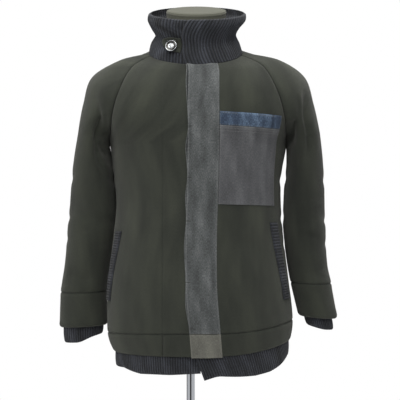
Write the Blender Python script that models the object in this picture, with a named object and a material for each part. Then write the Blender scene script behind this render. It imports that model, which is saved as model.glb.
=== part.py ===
"""Raglan cotton jacket with rib-knit collar, cuffs and hem, worn by a limbless dress form on a pole stand.

Metres, +Z up, front towards -Y. The stand's pole is the Z axis and the floor is Z = 0.
The wearer's right is -X. The jacket and form have their own centre plane, FORM_OFFSET beside the pole.
The body cloth is one continuous surface cut along its seams, so that panels meet edge to edge.
"""

import math

import bmesh
import bpy
import numpy as np

FORM_OFFSET = 0.016  # the form sits a little off the pole, to the wearer's left
CLOTH = 0.0020  # double-knit cotton
STRIP = 0.0015  # woven cotton of the placket and pocket
SEAM = 0.0003  # clearance between pieces that meet
LAY = 0.0005  # clearance under a piece that lies on a panel
HEM_RISE = 0.0100  # the hem's ends curve up towards the side seams
HEM_TILT = 0.0125  # more on the wearer's left than on the right

NECK_END_FRONT = 78  # degrees round the neckline to the front raglan seam
NECK_END_BACK = 112  # and to the back raglan seam

PLACKET_WIDTH = 0.065
UNDERLAP = 0.018  # the right front runs this far past the placket's centre
LEFT_EDGE = 0.0265  # and the left front starts here, under the placket
FACING_SEAM = -0.074  # upright seam in the right hem band

POLE_RADIUS = 0.009
BASE_RADIUS = 0.165
BASE_HEIGHT = 0.010
FORM_BOTTOM = 0.640

# Levels of the body: each row runs from the centre line out to the side seam, or to the raglan seam above the
# underarm. It reaches the seam heading this many degrees from straight out, with a handle of this length.
BODY_COLUMNS = ("centre_y", "centre_z", "right_x", "left_x", "seam_y", "seam_z", "turn", "pull")
FRONT_LEVELS = (
    ("hem edge", -0.129, 0.622, 0.184, 0.202, 0.000, 0.6225, 90, 0.073),
    ("band seam", -0.136, 0.672, 0.1975, 0.2075, 0.000, 0.6640, 90, 0.076),
    ("hip", -0.136, 0.765, 0.1965, 0.199, 0.000, 0.765, 90, 0.076),
    ("high hip", -0.129, 0.870, 0.185, 0.186, 0.000, 0.870, 90, 0.072),
    ("waist", -0.126, 0.945, 0.178, 0.181, 0.000, 0.945, 90, 0.070),
    ("rib cage", -0.130, 1.005, 0.1845, 0.1815, 0.000, 1.005, 90, 0.072),
    ("underarm", -0.134, 1.067, 0.1935, 0.194, 0.000, 1.067, 90, 0.074),
    ("armhole", -0.134, 1.118, 0.185, 0.186, -0.082, 1.118, 62, 0.045),
    ("chest", -0.126, 1.178, 0.167, 0.168, -0.098, 1.180, 32, 0.040),
    ("shoulder", -0.111, 1.216, 0.138, 0.138, -0.073, 1.237, 34, 0.035),
    ("neckline", -0.100, 1.235, 0.094, 0.094, -0.0295, 1.264, 76, 0.030),
)
BACK_LEVELS = (
    ("hem edge", 0.131, 0.617, 0.184, 0.202, 0.000, 0.6225, 90, 0.073),
    ("band seam", 0.138, 0.670, 0.1975, 0.2075, 0.000, 0.6640, 90, 0.077),
    ("hip", 0.136, 0.765, 0.1965, 0.199, 0.000, 0.765, 90, 0.076),
    ("high hip", 0.120, 0.870, 0.185, 0.186, 0.000, 0.870, 90, 0.068),
    ("waist", 0.108, 0.945, 0.178, 0.181, 0.000, 0.945, 90, 0.062),
    ("rib cage", 0.113, 1.005, 0.1845, 0.1815, 0.000, 1.005, 90, 0.064),
    ("underarm", 0.121, 1.067, 0.1935, 0.194, 0.000, 1.067, 90, 0.068),
    ("armhole", 0.127, 1.128, 0.188, 0.189, 0.084, 1.124, 64, 0.045),
    ("blades", 0.124, 1.200, 0.168, 0.169, 0.101, 1.195, 36, 0.040),
    ("shoulder", 0.103, 1.268, 0.130, 0.130, 0.081, 1.256, 34, 0.035),
    ("neckline", 0.078, 1.308, 0.089, 0.089, 0.0223, 1.285, 68, 0.030),
)

# Levels of each sleeve tube, cuff end first: its outer and inner silhouette, then its depth about middle_y.
SLEEVE_COLUMNS = ("outer_x", "outer_z", "inner_x", "inner_z", "middle_y", "front", "back")
RIGHT_SLEEVE_LEVELS = (
    ("hem", 0.3105, 0.665, 0.2035, 0.671, 0.050, 0.043, 0.045),
    ("band seam", 0.3073, 0.744, 0.2045, 0.746, 0.050, 0.047, 0.049),
    ("forearm", 0.2970, 0.816, 0.1988, 0.812, 0.048, 0.051, 0.053),
    ("elbow", 0.2898, 0.898, 0.1840, 0.890, 0.040, 0.056, 0.058),
    ("upper arm", 0.2822, 0.972, 0.1808, 0.960, 0.030, 0.061, 0.063),
    ("biceps", 0.2735, 1.038, 0.1877, 1.022, 0.011, 0.067, 0.069),
    ("underarm", 0.2625, 1.095, 0.1935, 1.067, 0.000, 0.072, 0.076),
)
LEFT_SLEEVE_LEVELS = (
    ("hem", 0.3085, 0.688, 0.2235, 0.694, 0.022, 0.044, 0.046),
    ("band seam", 0.2941, 0.766, 0.2058, 0.768, 0.020, 0.047, 0.049),
    ("forearm", 0.2839, 0.826, 0.1962, 0.824, 0.016, 0.051, 0.053),
    ("elbow", 0.2807, 0.898, 0.1895, 0.890, 0.012, 0.056, 0.058),
    ("upper arm", 0.2777, 0.976, 0.1905, 0.962, 0.008, 0.061, 0.063),
    ("biceps", 0.2739, 1.038, 0.1960, 1.026, 0.004, 0.067, 0.069),
    ("underarm", 0.2669, 1.095, 0.1940, 1.067, 0.000, 0.072, 0.076),
)

# The sleeve's cap, underarm to neckline: the ridge over the shoulder, then how the cloth leaves each seam.
CAP_COLUMNS = ("right_x", "left_x", "ridge_z", "front_turn", "back_turn", "seam_pull", "ridge_pull", "rise")
CAP_LEVELS = (
    ("underarm", 0.2625, 0.2669, 1.0950, -90, -90, 0.098, 0.098, 0.00),
    ("armhole", 0.2510, 0.2530, 1.1600, -45, -48, 0.045, 0.062, 0.20),
    ("shoulder point", 0.2305, 0.2325, 1.2195, 4, 2, 0.045, 0.056, 0.40),
    ("shoulder", 0.1640, 0.1740, 1.2560, 36, 34, 0.040, 0.045, 0.50),
    ("neckline", 0.0960, 0.0960, 1.2750, 80, 80, 0.012, 0.012, 0.10),
)
SLEEVE_SHARES = np.linspace(0, 1, 19)  # columns round a sleeve
SLEEVE_BAND_ROWS = (0.0, 0.12, 0.55, 1.0)
UNDERARM = 6  # level where the sleeve leaves the body
NECKLINE = 10
HEM_CURL = 0.0030  # a sleeve's hem curls in this much over its last few millimetres

# Rings of the collar, seam to rim: half width and depth, centre, height at the sides, how far the back rises.
COLLAR_COLUMNS = ("half_width", "half_depth", "centre_x", "centre_y", "side_z", "back_rise")
NECK_RING = np.array((0.1010, 0.0890, -0.0050, -0.0110, 1.2715, 0.0365))
COLLAR_LEVELS = (
    ("neck seam", 0.1015, 0.0900, -0.0050, -0.0110, 1.2720, 0.0365),
    ("lower stand", 0.0962, 0.0865, -0.0060, -0.0110, 1.2920, 0.0350),
    ("waist", 0.0878, 0.0810, -0.0055, -0.0115, 1.3110, 0.0335),
    ("upper stand", 0.0950, 0.0860, -0.0060, -0.0120, 1.3270, 0.0320),
    ("flare", 0.1060, 0.0945, -0.0030, -0.0125, 1.3440, 0.0305),
    ("rim", 0.1050, 0.0955, -0.0015, -0.0130, 1.3590, 0.0295),
)
COLLAR_ROWS = (0.0, 0.20, 0.38, 0.56, 0.74, 0.92, 1.0)
RIB_CLOTH = 0.0045
RIB_RISE = 0.0012
COLLAR_RIBS = 66  # in a full turn
COLLAR_LAP = RIB_CLOTH + RIB_RISE + 0.0008
COLLAR_UNDER_END = 376  # degrees: the right end runs on under the left end

# Where the placket's centre line wanders, by body level.
PLACKET_DRIFT = (0.0189, 0.0150, 0.0075, 0.0070, 0.0090, 0.0105, 0.0117, 0.0120, 0.0124, 0.0127, 0.0127)
TACK_LEVELS = (1.15, 2.15, 3.45, 4.90, 6.70)  # bar tacks that hold the fly shut
PEEK = 0.0030  # how far the fly's under layer bows out between them

POCKET_SIDE = 0.182  # from the centre line, along the cloth
POCKET_COLUMNS = ("centre height", "drop towards the side")
POCKET_BOTTOM = (0.941, 0.0036)
POCKET_MOUTH = (1.1062, 0.0056)
DENIM_TOP = (1.1350, 0.0078)

WELT_COLUMNS = ("side", "name", "top", "bottom", "inset_top", "inset_bottom")  # inset from the side seam
WELTS = (
    (-1, "right", 0.883, 0.735, 0.067, 0.047),
    (1, "left", 0.902, 0.728, 0.082, 0.064),
)
WELT_WIDTH = 0.028
WELT_RIBS = 17

HEM_RIB_DROPS = (
    # share of the way round from the front centre by the wearer's left side, and how far the rib hangs there
    (0.000, 0.0380),
    (0.050, 0.0420),
    (0.125, 0.0500),
    (0.160, 0.0495),
    (0.195, 0.0430),
    (0.235, 0.0340),
    (0.500, 0.0340),
    (0.765, 0.0320),
    (0.825, 0.0300),
    (0.875, 0.0390),
    (0.940, 0.0385),
    (1.010, 0.0350),
)
HEM_RIB_TUCK = 0.020  # how far it runs up inside the band
HEM_RIB_CLOTH = 0.0028
HEM_RIB_PITCH = 0.0086
HEM_LAP = HEM_RIB_CLOTH + RIB_RISE + 0.0008

CUFF_COLUMNS = ("side", "name", "drop_outer", "drop_inner", "inset")
CUFFS = (
    (-1, "right", 0.034, 0.018, 0.003),
    (1, "left", 0.026, 0.019, 0.006),
)
CUFF_TUCK = 0.28  # how far it runs up inside the sleeve band, as a share of the band
CUFF_RIBS = 26

BUTTON_RADIUS = 0.0125
TAB_SHARES = (0.22, 0.56)  # how far up the collar the tab reaches
TAB_START, TAB_END = 340, 309  # degrees round the collar
BUTTON_SPOT = (0.31, 326)  # share of the collar's height, and degrees

# Soft folds seen square on: ends, depth of the trough, half width, and the face it is on (-1 front, 1 back).
FOLD_COLUMNS = ("x0", "z0", "x1", "z1", "depth", "width", "face")
FOLDS = (
    ("right shoulder break", -0.221, 1.175, -0.214, 1.080, 0.005, 0.014, -1),
    ("right underarm hollow", -0.204, 1.130, -0.203, 1.040, 0.011, 0.018, -1),
    ("left armhole break", 0.231, 1.155, 0.233, 1.050, 0.008, 0.014, -1),
    ("left underarm hollow", 0.201, 1.120, 0.196, 1.065, 0.007, 0.014, -1),
    ("right elbow", -0.285, 0.935, -0.225, 0.905, 0.005, 0.016, -1),
    ("left elbow", 0.280, 0.925, 0.222, 0.900, 0.005, 0.016, -1),
    ("right cuff dent", -0.290, 0.790, -0.235, 0.772, 0.004, 0.014, -1),
    ("left cuff dent", 0.292, 0.800, 0.235, 0.790, 0.004, 0.014, -1),
    ("right armhole back", -0.222, 1.180, -0.206, 1.060, 0.010, 0.015, 1),
    ("left armhole back", 0.222, 1.180, 0.206, 1.060, 0.010, 0.015, 1),
    ("back hollow", -0.020, 1.060, 0.012, 0.860, 0.004, 0.045, 1),
)

FINISHES = {
    # name: sRGB colour, roughness, metallic
    "body_knit": ("3A3D3A", 0.90, 0.0),
    "rib_knit": ("2C2D33", 0.95, 0.0),
    "grey_cotton": ("545557", 0.90, 0.0),
    "denim": ("4A5564", 0.88, 0.0),
    "button_black": ("17181B", 0.22, 0.2),
    "form_jersey": ("76776D", 0.85, 0.0),
    "chrome": ("C9CBCE", 0.12, 1.0),
}


def table(levels):
    """The numbers of a table of named rows."""
    return np.array([row[1:] for row in levels], float)


FRONT, BACK, CAP = table(FRONT_LEVELS), table(BACK_LEVELS), table(CAP_LEVELS)
SLEEVES = {-1: table(RIGHT_SLEEVE_LEVELS), 1: table(LEFT_SLEEVE_LEVELS)}
COLLAR = table(COLLAR_LEVELS)


def between(rows, level):
    """Smooth reading of a table at a level between its rows."""
    rows = np.asarray(rows, float)
    last = len(rows) - 1
    i = int(min(max(math.floor(level), 0), last - 1))
    t = level - i
    a, b, c, d = rows[max(i - 1, 0)], rows[i], rows[i + 1], rows[min(i + 2, last)]
    bend, twist = 2 * a - 5 * b + 4 * c - d, 3 * b - a - 3 * c + d
    return 0.5 * (2 * b + (c - a) * t + bend * t**2 + twist * t**3)


def ease(t):
    t = np.clip(t, 0.0, 1.0)
    return t * t * (3 - 2 * t)


def bezier(a, b, c, d, count=80):
    """Points of a cubic from a to d, with their distances along it."""
    t = np.linspace(0, 1, count)[:, None]
    a, b, c, d = (np.asarray(p, float) for p in (a, b, c, d))
    line = a * (1 - t) ** 3 + 3 * b * t * (1 - t) ** 2 + 3 * c * t**2 * (1 - t) + d * t**3
    return line, distances(line)


def distances(line):
    return np.concatenate([[0.0], np.cumsum(np.linalg.norm(np.diff(line, axis=0), axis=1))])


def along(line, far, where):
    """The points at these distances along a line."""
    return np.stack([np.interp(where, far, line[:, k]) for k in range(3)], axis=-1)


def neck_ring(ring, degrees, side=1):
    """Points of a tilted oval round the neck, from the front centre towards that side."""
    half_width, half_depth, centre_x, centre_y, side_z, back_rise = ring
    turn = np.radians(degrees)
    x = centre_x + side * half_width * np.sin(turn)
    y = centre_y - half_depth * np.cos(turn)
    return np.stack([x, y, side_z - back_rise * np.cos(turn)], axis=-1)


def tilt_hem(points):
    """Curves the hem's ends up, more on the wearer's left."""
    x, z = points[..., 0], points[..., 2]
    reach = (np.abs(x) / 0.2) ** 2.5 * ease((0.80 - z) / 0.14)
    points[..., 2] += (HEM_RISE + HEM_TILT * np.sign(x)) * reach
    return points


def seam_point(face, level, side):
    """Where a body row meets its side or raglan seam, with its heading there and its handle."""
    rows = FRONT if face < 0 else BACK
    right_x, left_x, y, z, turn, pull = between(rows if level > UNDERARM else rows[: UNDERARM + 1], level)[2:]
    return np.array((left_x if side > 0 else right_x, y, z)), math.radians(turn), pull


def body_line(face, level, side):
    """One row of the body's surface, centre line to seam, drawn on the +X side, and its distances."""
    centre_y, centre_z = between(FRONT if face < 0 else BACK, level)[:2]
    seam, turn, pull = seam_point(face, level, side)
    climb = (seam[2] - centre_z) / 3
    start = (0, centre_y, centre_z)
    leave = (0.6 * seam[0], centre_y, centre_z + climb)
    arrive = seam + (-pull * math.cos(turn), face * pull * math.sin(turn), -climb)
    return bezier(start, leave, arrive, seam)


def row_length(face, level, side=1):
    return body_line(face, level, side)[1][-1]


def body_row(face, level, stations):
    """Points of the body at these distances from the centre line, negative to the wearer's right."""
    stations = np.asarray(stations, float)
    points = np.zeros((len(stations), 3))
    blend = ease(level - NECKLINE + 1)
    for side in (-1, 1):
        here = stations < 0 if side < 0 else stations >= 0
        line, far = body_line(face, level, side)
        part = along(line, far, np.abs(stations[here]))
        part[:, 0] *= side
        if blend > 0:
            share = np.abs(stations[here]) / far[-1]
            end = NECK_END_FRONT if face < 0 else 180 - NECK_END_BACK
            degrees = share * end if face < 0 else 180 - share * end
            part += blend * (neck_ring(NECK_RING, degrees, side) - part)
        points[here] = part
    return tilt_hem(points)


def sleeve_row(side, level, shares):
    """Points round the sleeve: share 0 is its front seam, 0.5 the ridge and 1 its back seam."""
    shares = np.asarray(shares, float)
    if level <= UNDERARM:
        outer_x, outer_z, inner_x, inner_z, middle_y, front, back = between(SLEEVES[side], level)
        front_seam = back_seam = np.array((inner_x, middle_y, inner_z))
        ridge = np.array((outer_x, middle_y, outer_z))
        halves = [(front_seam, (0, -1, 0), front * 4 / 3, front * 4 / 3)]
        halves.append((back_seam, (0, 1, 0), back * 4 / 3, back * 4 / 3))
    else:
        cap = between(CAP, level - UNDERARM)
        right_x, left_x, ridge_z, front_turn, back_turn, seam_pull, ridge_pull, rise = cap
        ridge = np.array((left_x if side > 0 else right_x, 0, ridge_z))
        halves = []
        for face, turn in ((-1, front_turn), (1, back_turn)):
            turn = math.radians(turn)
            heading = np.array((math.cos(turn), -face * math.sin(turn), rise))
            heading /= np.linalg.norm(heading)
            halves.append((seam_point(face, level, side)[0], heading, seam_pull, ridge_pull))
    points = np.zeros((len(shares), 3))
    for face, (seam, heading, seam_pull, ridge_pull) in zip((-1, 1), halves):
        leave = seam + np.array(heading) * seam_pull
        arrive = ridge + np.array((0, face * ridge_pull, 0))
        line, far = bezier(seam, leave, arrive, ridge)
        here = shares <= 0.5 if face < 0 else shares > 0.5
        share = shares[here] * 2 if face < 0 else (1 - shares[here]) * 2
        points[here] = along(line, far, share * far[-1])
    if level < 0.12:
        inward = points.mean(axis=0) - points
        inward /= np.linalg.norm(inward, axis=-1, keepdims=True)
        points += inward * HEM_CURL * (1 - max(level, 0) / 0.12)
    points[:, 0] *= side
    blend = ease(level - NECKLINE + 1)
    if blend > 0:
        degrees = NECK_END_FRONT + shares * (NECK_END_BACK - NECK_END_FRONT)
        points += blend * (neck_ring(NECK_RING, degrees, side) - points)
    return points


def grid_normals(grid):
    """Unit normals of a grid of points: rows run upwards, columns anticlockwise seen from above."""
    across = np.gradient(grid, axis=1)
    up = np.gradient(grid, axis=0)
    normals = np.cross(across, up)
    return normals / np.maximum(np.linalg.norm(normals, axis=-1, keepdims=True), 1e-12)


def fold_depth(points, normals):
    """How far the folds push each point in along its normal."""
    depth = np.zeros(points.shape[:-1])
    flat = points[..., [0, 2]]
    for _, x0, z0, x1, z1, deep, width, face in FOLDS:
        start, run = np.array((x0, z0)), np.array((x1 - x0, z1 - z0))
        share = ((flat - start) @ run) / (run @ run)
        off = np.linalg.norm(flat - start - np.clip(share, 0, 1)[..., None] * run, axis=-1)
        fade = ease((0.68 - np.abs(np.clip(share, 0, 1) - 0.5)) / 0.36)
        depth += deep * np.exp(-((off / width) ** 2)) * fade * ease((face * normals[..., 1] + 0.15) / 0.65)
    return depth


def folded(grid):
    normals = grid_normals(grid)
    return grid - normals * fold_depth(grid, normals)[..., None]


def drift(level):
    return float(between(PLACKET_DRIFT, level))


def right_stations(level):
    """Columns of the right front: side seam to facing seam, then on to its edge under the placket."""
    return np.concatenate([facing_stations(level, 0), facing_stations(level, 1)[1:]])


def facing_stations(level, part):
    if part == 0:
        return np.linspace(-row_length(-1, level, -1), FACING_SEAM, 8)
    return np.linspace(FACING_SEAM, drift(level) + UNDERLAP, 4)


def left_stations(level):
    return np.linspace(drift(level) + LEFT_EDGE, row_length(-1, level, 1), 9)


def back_stations(level):
    left, right = row_length(1, level, 1), row_length(1, level, -1)
    return np.concatenate([np.linspace(left, 0, 10), np.linspace(0, -right, 10)[1:]])


def panel(face, levels, stations):
    """A grid of the body's surface, its columns at the stations of each level."""
    return np.array([body_row(face, w, stations(w)) for w in levels])


def shared_normals(patches):
    """Normals of all patches, averaged where patches share a point, so that walls meet squarely at seams."""
    total = {}
    keys = {}
    for name, grid in patches.items():
        normals = grid_normals(grid)
        keys[name] = [[tuple(np.round(p * 1e5).astype(int)) for p in row] for row in grid]
        for row_keys, row_normals in zip(keys[name], normals):
            for key, normal in zip(row_keys, row_normals):
                total[key] = total.get(key, 0) + normal
    result = {}
    for name in patches:
        normals = np.array([[total[key] for key in row] for row in keys[name]])
        result[name] = normals / np.linalg.norm(normals, axis=-1, keepdims=True)
    return result


def drawn_in(grid, amount):
    """The grid with each border drawn in by that much, towards its next row or column."""
    grid = grid.copy()
    for edge, beside in ((0, 1), (-1, -2)):
        for lines in (grid, grid.transpose(1, 0, 2)):
            step = lines[beside] - lines[edge]
            lines[edge] += step / np.linalg.norm(step, axis=-1, keepdims=True) * amount
    return grid


def zip_border(bm, first, second):
    """Fills between two lines of vertices that run side by side, whatever their counts."""
    i = j = 0
    last_i, last_j = len(first) - 1, len(second) - 1
    while i < last_i or j < last_j:
        if j == last_j or (i < last_i and (i + 1) * last_j <= (j + 1) * last_i):
            bm.faces.new((first[i], first[i + 1], second[j]))
            i += 1
        else:
            bm.faces.new((first[i], second[j + 1], second[j]))
            j += 1


def wall(name, outer, inner, finish, ring=False):
    """A closed cloth wall between an outer and an inner grid. A ring's last column joins its first."""
    bm = bmesh.new()
    sides = []
    for grid in (outer, inner):
        rows = [[bm.verts.new(p) for p in row] for row in grid]
        if ring:
            rows = [row + row[:1] for row in rows]
        for low, high in zip(rows, rows[1:]):
            for k in range(len(low) - 1):
                bm.faces.new((low[k], low[k + 1], high[k + 1]))
                bm.faces.new((low[k], high[k + 1], high[k]))
        sides.append(rows)
    zip_border(bm, sides[0][0], sides[1][0])
    zip_border(bm, sides[0][-1], sides[1][-1])
    if not ring:
        for column in (0, -1):
            zip_border(bm, [row[column] for row in sides[0]], [row[column] for row in sides[1]])
    return finished(name, bm, finish)


def linear(hex_colour):
    srgb = [int(hex_colour[k : k + 2], 16) / 255 for k in (0, 2, 4)]
    return [c / 12.92 if c <= 0.04045 else ((c + 0.055) / 1.055) ** 2.4 for c in srgb] + [1.0]


def material(finish):
    made = bpy.data.materials.get(finish)
    if made is None:
        colour, roughness, metallic = FINISHES[finish]
        made = bpy.data.materials.new(finish)
        made.use_nodes = True
        shader = made.node_tree.nodes["Principled BSDF"]
        shader.inputs["Base Color"].default_value = linear(colour)
        shader.inputs["Roughness"].default_value = roughness
        shader.inputs["Metallic"].default_value = metallic
        made.diffuse_color = linear(colour)
    return made


def finished(name, bm, finish, parent="jacket_on_form"):
    """Turns a bmesh into a named object that hangs from its parent empty."""
    bmesh.ops.recalc_face_normals(bm, faces=bm.faces)
    mesh = bpy.data.meshes.new(name)
    bm.to_mesh(mesh)
    bm.free()
    mesh.shade_smooth()
    mesh.set_sharp_from_angle(angle=math.radians(50))
    mesh.materials.append(material(finish))
    made = bpy.data.objects.new(name, mesh)
    bpy.context.scene.collection.objects.link(made)
    made.parent = bpy.data.objects[parent]
    return made


def make_shell():
    """Fronts, back, hem bands, sleeves and sleeve bands: one surface, cut along its seams."""
    body = np.linspace(1, NECKLINE, 19)
    band = np.array((0.0, 0.5, 1.0))
    sleeve = np.concatenate([np.linspace(1, UNDERARM, 11), np.linspace(UNDERARM, NECKLINE, 9)[1:]])
    patches = {
        "front_right": panel(-1, body, right_stations),
        "front_left": panel(-1, body, left_stations),
        "back": panel(1, body, back_stations),
        "hem_band_front_right": panel(-1, band, lambda w: facing_stations(w, 0)),
        "hem_band_facing": panel(-1, band, lambda w: facing_stations(w, 1)),
        "hem_band_front_left": panel(-1, band, left_stations),
        "hem_band_back": panel(1, band, back_stations),
    }
    for side, word in ((-1, "right"), (1, "left")):
        round_it = SLEEVE_SHARES[::side]
        patches[f"sleeve_{word}"] = np.array([sleeve_row(side, w, round_it) for w in sleeve])
        patches[f"sleeve_band_{word}"] = np.array([sleeve_row(side, w, round_it) for w in SLEEVE_BAND_ROWS])
    normals = shared_normals(patches)
    for name, grid in patches.items():
        patches[name] = grid - normals[name] * fold_depth(grid, normals[name])[..., None]
    normals = shared_normals(patches)
    for name, grid in patches.items():
        outer = drawn_in(grid, SEAM / 2)
        wall(name, outer, outer - normals[name] * CLOTH, "body_knit")


def on_front(levels, stations):
    """A grid that follows the front's surface, with its normals."""
    grid = folded(panel(-1, levels, stations))
    return grid, grid_normals(grid)


def make_placket():
    """The fly: an under layer that bows out between tacks, the strip over it, and the patch at the hem."""
    half = PLACKET_WIDTH / 2
    levels = np.concatenate([[1.004], np.linspace(1.5, 9.5, 17), [9.62]])

    def bowed(w):
        tacks = (0.2, *TACK_LEVELS, 10.4)
        below = max(t for t in tacks if t <= w)
        above = min(t for t in tacks if t > w)
        return PEEK * math.sin(math.pi * (w - below) / (above - below)) ** 2

    grid, normals = on_front(levels, lambda w: drift(w) + np.linspace(-half - bowed(w), 0.0188, 4))
    wall("placket_under", grid + normals * (LAY + 0.0013), grid + normals * LAY, "grey_cotton")

    def strip(name, levels, high):
        grid, normals = on_front(levels, lambda w: drift(w) + np.linspace(-half, half, 6))
        under = high - (high - LAY) * ease((np.linspace(0, 1, 6) - 0.80) / 0.20)
        inner = grid + normals * under[None, :, None]
        wall(name, inner + normals * STRIP, inner, "grey_cotton")

    strip("placket", levels, 0.0022)
    strip("placket_patch", np.array((-0.06, 0.5, 0.996)), 0.0006)


def front_level(z):
    """The body level whose front row is at this height, below the chest where rows are level."""
    levels = np.linspace(0, 8, 161)
    heights = [between(FRONT, w)[1] for w in levels]
    return float(np.interp(z, heights, levels))


def make_pocket():
    """Patch pocket on the left chest with a band of denim along its mouth."""

    def patch(name, low, high, rows_between, thick, finish):
        grid = []
        for row in (low, *rows_between, high):
            line = []
            for k in np.linspace(0, 1, 13):
                w = row if np.isscalar(row) else front_level(row[0] - row[1] * k)
                start = drift(w) + PLACKET_WIDTH / 2 + 0.0008
                line.append(body_row(-1, w, [start + k * (POCKET_SIDE - start)])[0])
            grid.append(line)
        grid = folded(np.array(grid))
        normals = grid_normals(grid)
        wall(name, grid + normals * (LAY + thick), grid + normals * LAY, finish)

    lip = (POCKET_MOUTH[0] + 0.0005, POCKET_MOUTH[1])
    patch("chest_pocket", POCKET_BOTTOM, POCKET_MOUTH, (4.5, 5.0, 5.5, 6.0, 6.5), STRIP, "grey_cotton")
    patch("pocket_denim", lip, DENIM_TOP, (7.0,), STRIP + 0.0003, "denim")


def make_welts():
    """Rib-knit welts on the slanted side pockets, ribs across the mouth."""
    for side, word, top, bottom, inset_top, inset_bottom in WELTS:

        def welt(rows, raised, ribbed):
            grid = []
            for up in np.linspace(0, 1, rows):
                w = front_level(bottom + (top - bottom) * up)
                front_edge = row_length(-1, w, side) - (inset_bottom + (inset_top - inset_bottom) * up)
                stations = front_edge + np.linspace(0, WELT_WIDTH, 4)[::side]
                grid.append(body_row(-1, w, side * stations))
            grid = folded(np.array(grid))
            height = raised + rib_wave(rows, ribbed)
            return grid + grid_normals(grid) * height[:, None, None]

        outer = welt(2 * WELT_RIBS + 1, LAY + 0.0022, True)
        wall(f"pocket_welt_{word}", outer, welt(9, LAY, False), "rib_knit")


def rib_wave(count, ribbed=True):
    """Ribs and the valleys between them: every other column is raised."""
    return RIB_RISE * (np.arange(count) % 2) * ribbed


def collar_edge(share):
    """Degrees round the neck at which the collar's left end stops, at this share of its height."""
    return -18.5 + 32 * (share - 0.45) ** 2


def collar_grid(shares, degrees, inset=0.0, ribbed=False):
    """A grid on the collar's outer face: degrees is a function of the share of the height."""
    rings = np.array([between(COLLAR, share * (len(COLLAR) - 1)) for share in COLLAR_ROWS])
    rows = []
    for share in shares:
        here = degrees(share)
        ring = [np.interp(share, COLLAR_ROWS, column) for column in rings.T]
        points = neck_ring(ring, here)
        out = np.stack([np.sin(np.radians(here)), -np.cos(np.radians(here))], axis=-1)
        lap = COLLAR_LAP * ease((here - 312) / 26)
        points[:, :2] += out * (rib_wave(len(here), ribbed) - lap - inset)[:, None]
        rows.append(points)
    return np.array(rows)


def make_collar():
    """Tall rib collar, open in front: its left end laps over its right end, and its rim flares."""
    ribs = round(COLLAR_RIBS * (COLLAR_UNDER_END + 17) / 360)
    outer_turn = lambda share: np.linspace(collar_edge(share), COLLAR_UNDER_END, 2 * ribs + 1)
    inner_turn = lambda share: np.linspace(collar_edge(share), COLLAR_UNDER_END, 43)
    outer = collar_grid(COLLAR_ROWS[:-1], outer_turn, ribbed=True)
    rim = collar_grid((1.0,), outer_turn, inset=RIB_CLOTH / 2)
    inner = collar_grid((0, 0.25, 0.5, 0.75, 0.94), inner_turn, inset=RIB_CLOTH)
    wall("collar", np.concatenate([outer, rim]), inner, "rib_knit")


def make_tab():
    """Button tab from under the collar's left end, lying on the right end, and the button that closes it."""
    low, high = TAB_SHARES
    clear = RIB_RISE + LAY + 0.0009

    def rounded(k):
        """Degrees along the tab at this share of its height: its free end is rounded."""
        bulge = math.sqrt(max(0.0, 1 - (2 * k - 1) ** 2 * 0.80))
        return np.linspace(TAB_START + (TAB_END - TAB_START) * bulge, TAB_START, 8)

    shares = np.linspace(low, high, 6)
    grid = collar_grid(shares, lambda share: rounded((share - low) / (high - low)))
    normals = grid_normals(grid)
    inner = grid + normals * clear
    wall("collar_tab", inner + normals * 0.0018, inner, "body_knit")

    share, degrees = BUTTON_SPOT
    beside = degrees + np.array((-6.0, 0.0, 6.0))
    spot = collar_grid((share - 0.08, share, share + 0.08), lambda share: beside)
    centre, out = spot[1, 1], grid_normals(spot)[1, 1]
    sideways = np.cross((0, 0, 1), out)
    sideways /= np.linalg.norm(sideways)
    up = np.cross(out, sideways)
    near = np.linalg.norm(np.cross(inner - centre, out), axis=-1) < BUTTON_RADIUS
    lift = ((inner + normals * 0.0018 - centre) @ out)[near].max()
    back = ((0.0, 0.0), (BUTTON_RADIUS - 0.002, 0.0), (BUTTON_RADIUS, 0.0012), (BUTTON_RADIUS, 0.0034))
    rim = ((BUTTON_RADIUS - 0.0013, 0.0044), (BUTTON_RADIUS - 0.0027, 0.0036))
    dish = ((0.0080, 0.0024), (0.0055, 0.0024), (0.0048, 0.0036), (0.0, 0.0040))
    origin = centre + out * (lift + 3 * SEAM + 0.0002)
    lathe("collar_button", back + rim + dish, origin, (sideways, up, out), "button_black", 20)


def lathe(name, profile, origin, axes, finish, steps, parent="jacket_on_form"):
    """A turned piece: its profile of radius and height spun about the last of its axes."""
    across, up, out = (np.array(axis, float) for axis in axes)
    bm = bmesh.new()
    rings = []
    for radius, height in profile:
        centre = np.array(origin, float) + out * height
        if radius == 0:
            rings.append([bm.verts.new(centre)])
            continue
        angles = [2 * math.pi * k / steps for k in range(steps)]
        spokes = [across * math.cos(a) + up * math.sin(a) for a in angles]
        rings.append([bm.verts.new(centre + radius * spoke) for spoke in spokes])
    for low, high in zip(rings, rings[1:]):
        for k in range(steps):
            n = (k + 1) % steps
            if len(low) == 1:
                bm.faces.new((low[0], high[n], high[k]))
            elif len(high) == 1:
                bm.faces.new((low[k], low[n], high[0]))
            else:
                bm.faces.new((low[k], low[n], high[n], high[k]))
    return finished(name, bm, finish, parent)


def hem_ring():
    """The hem's edge once round, from the front centre by the wearer's left side, and on past the front."""
    begin = body_row(-1, 0, [-0.01, 0.0])
    once = np.concatenate([body_row(-1, 0, left_stations(0)), body_row(1, 0, back_stations(0))[1:]])
    once = np.concatenate([begin, once, body_row(-1, 0, right_stations(0))[1:]])
    far = distances(once) - 0.01
    return once, far, float(far[-1] - once[-1, 0])


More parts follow.
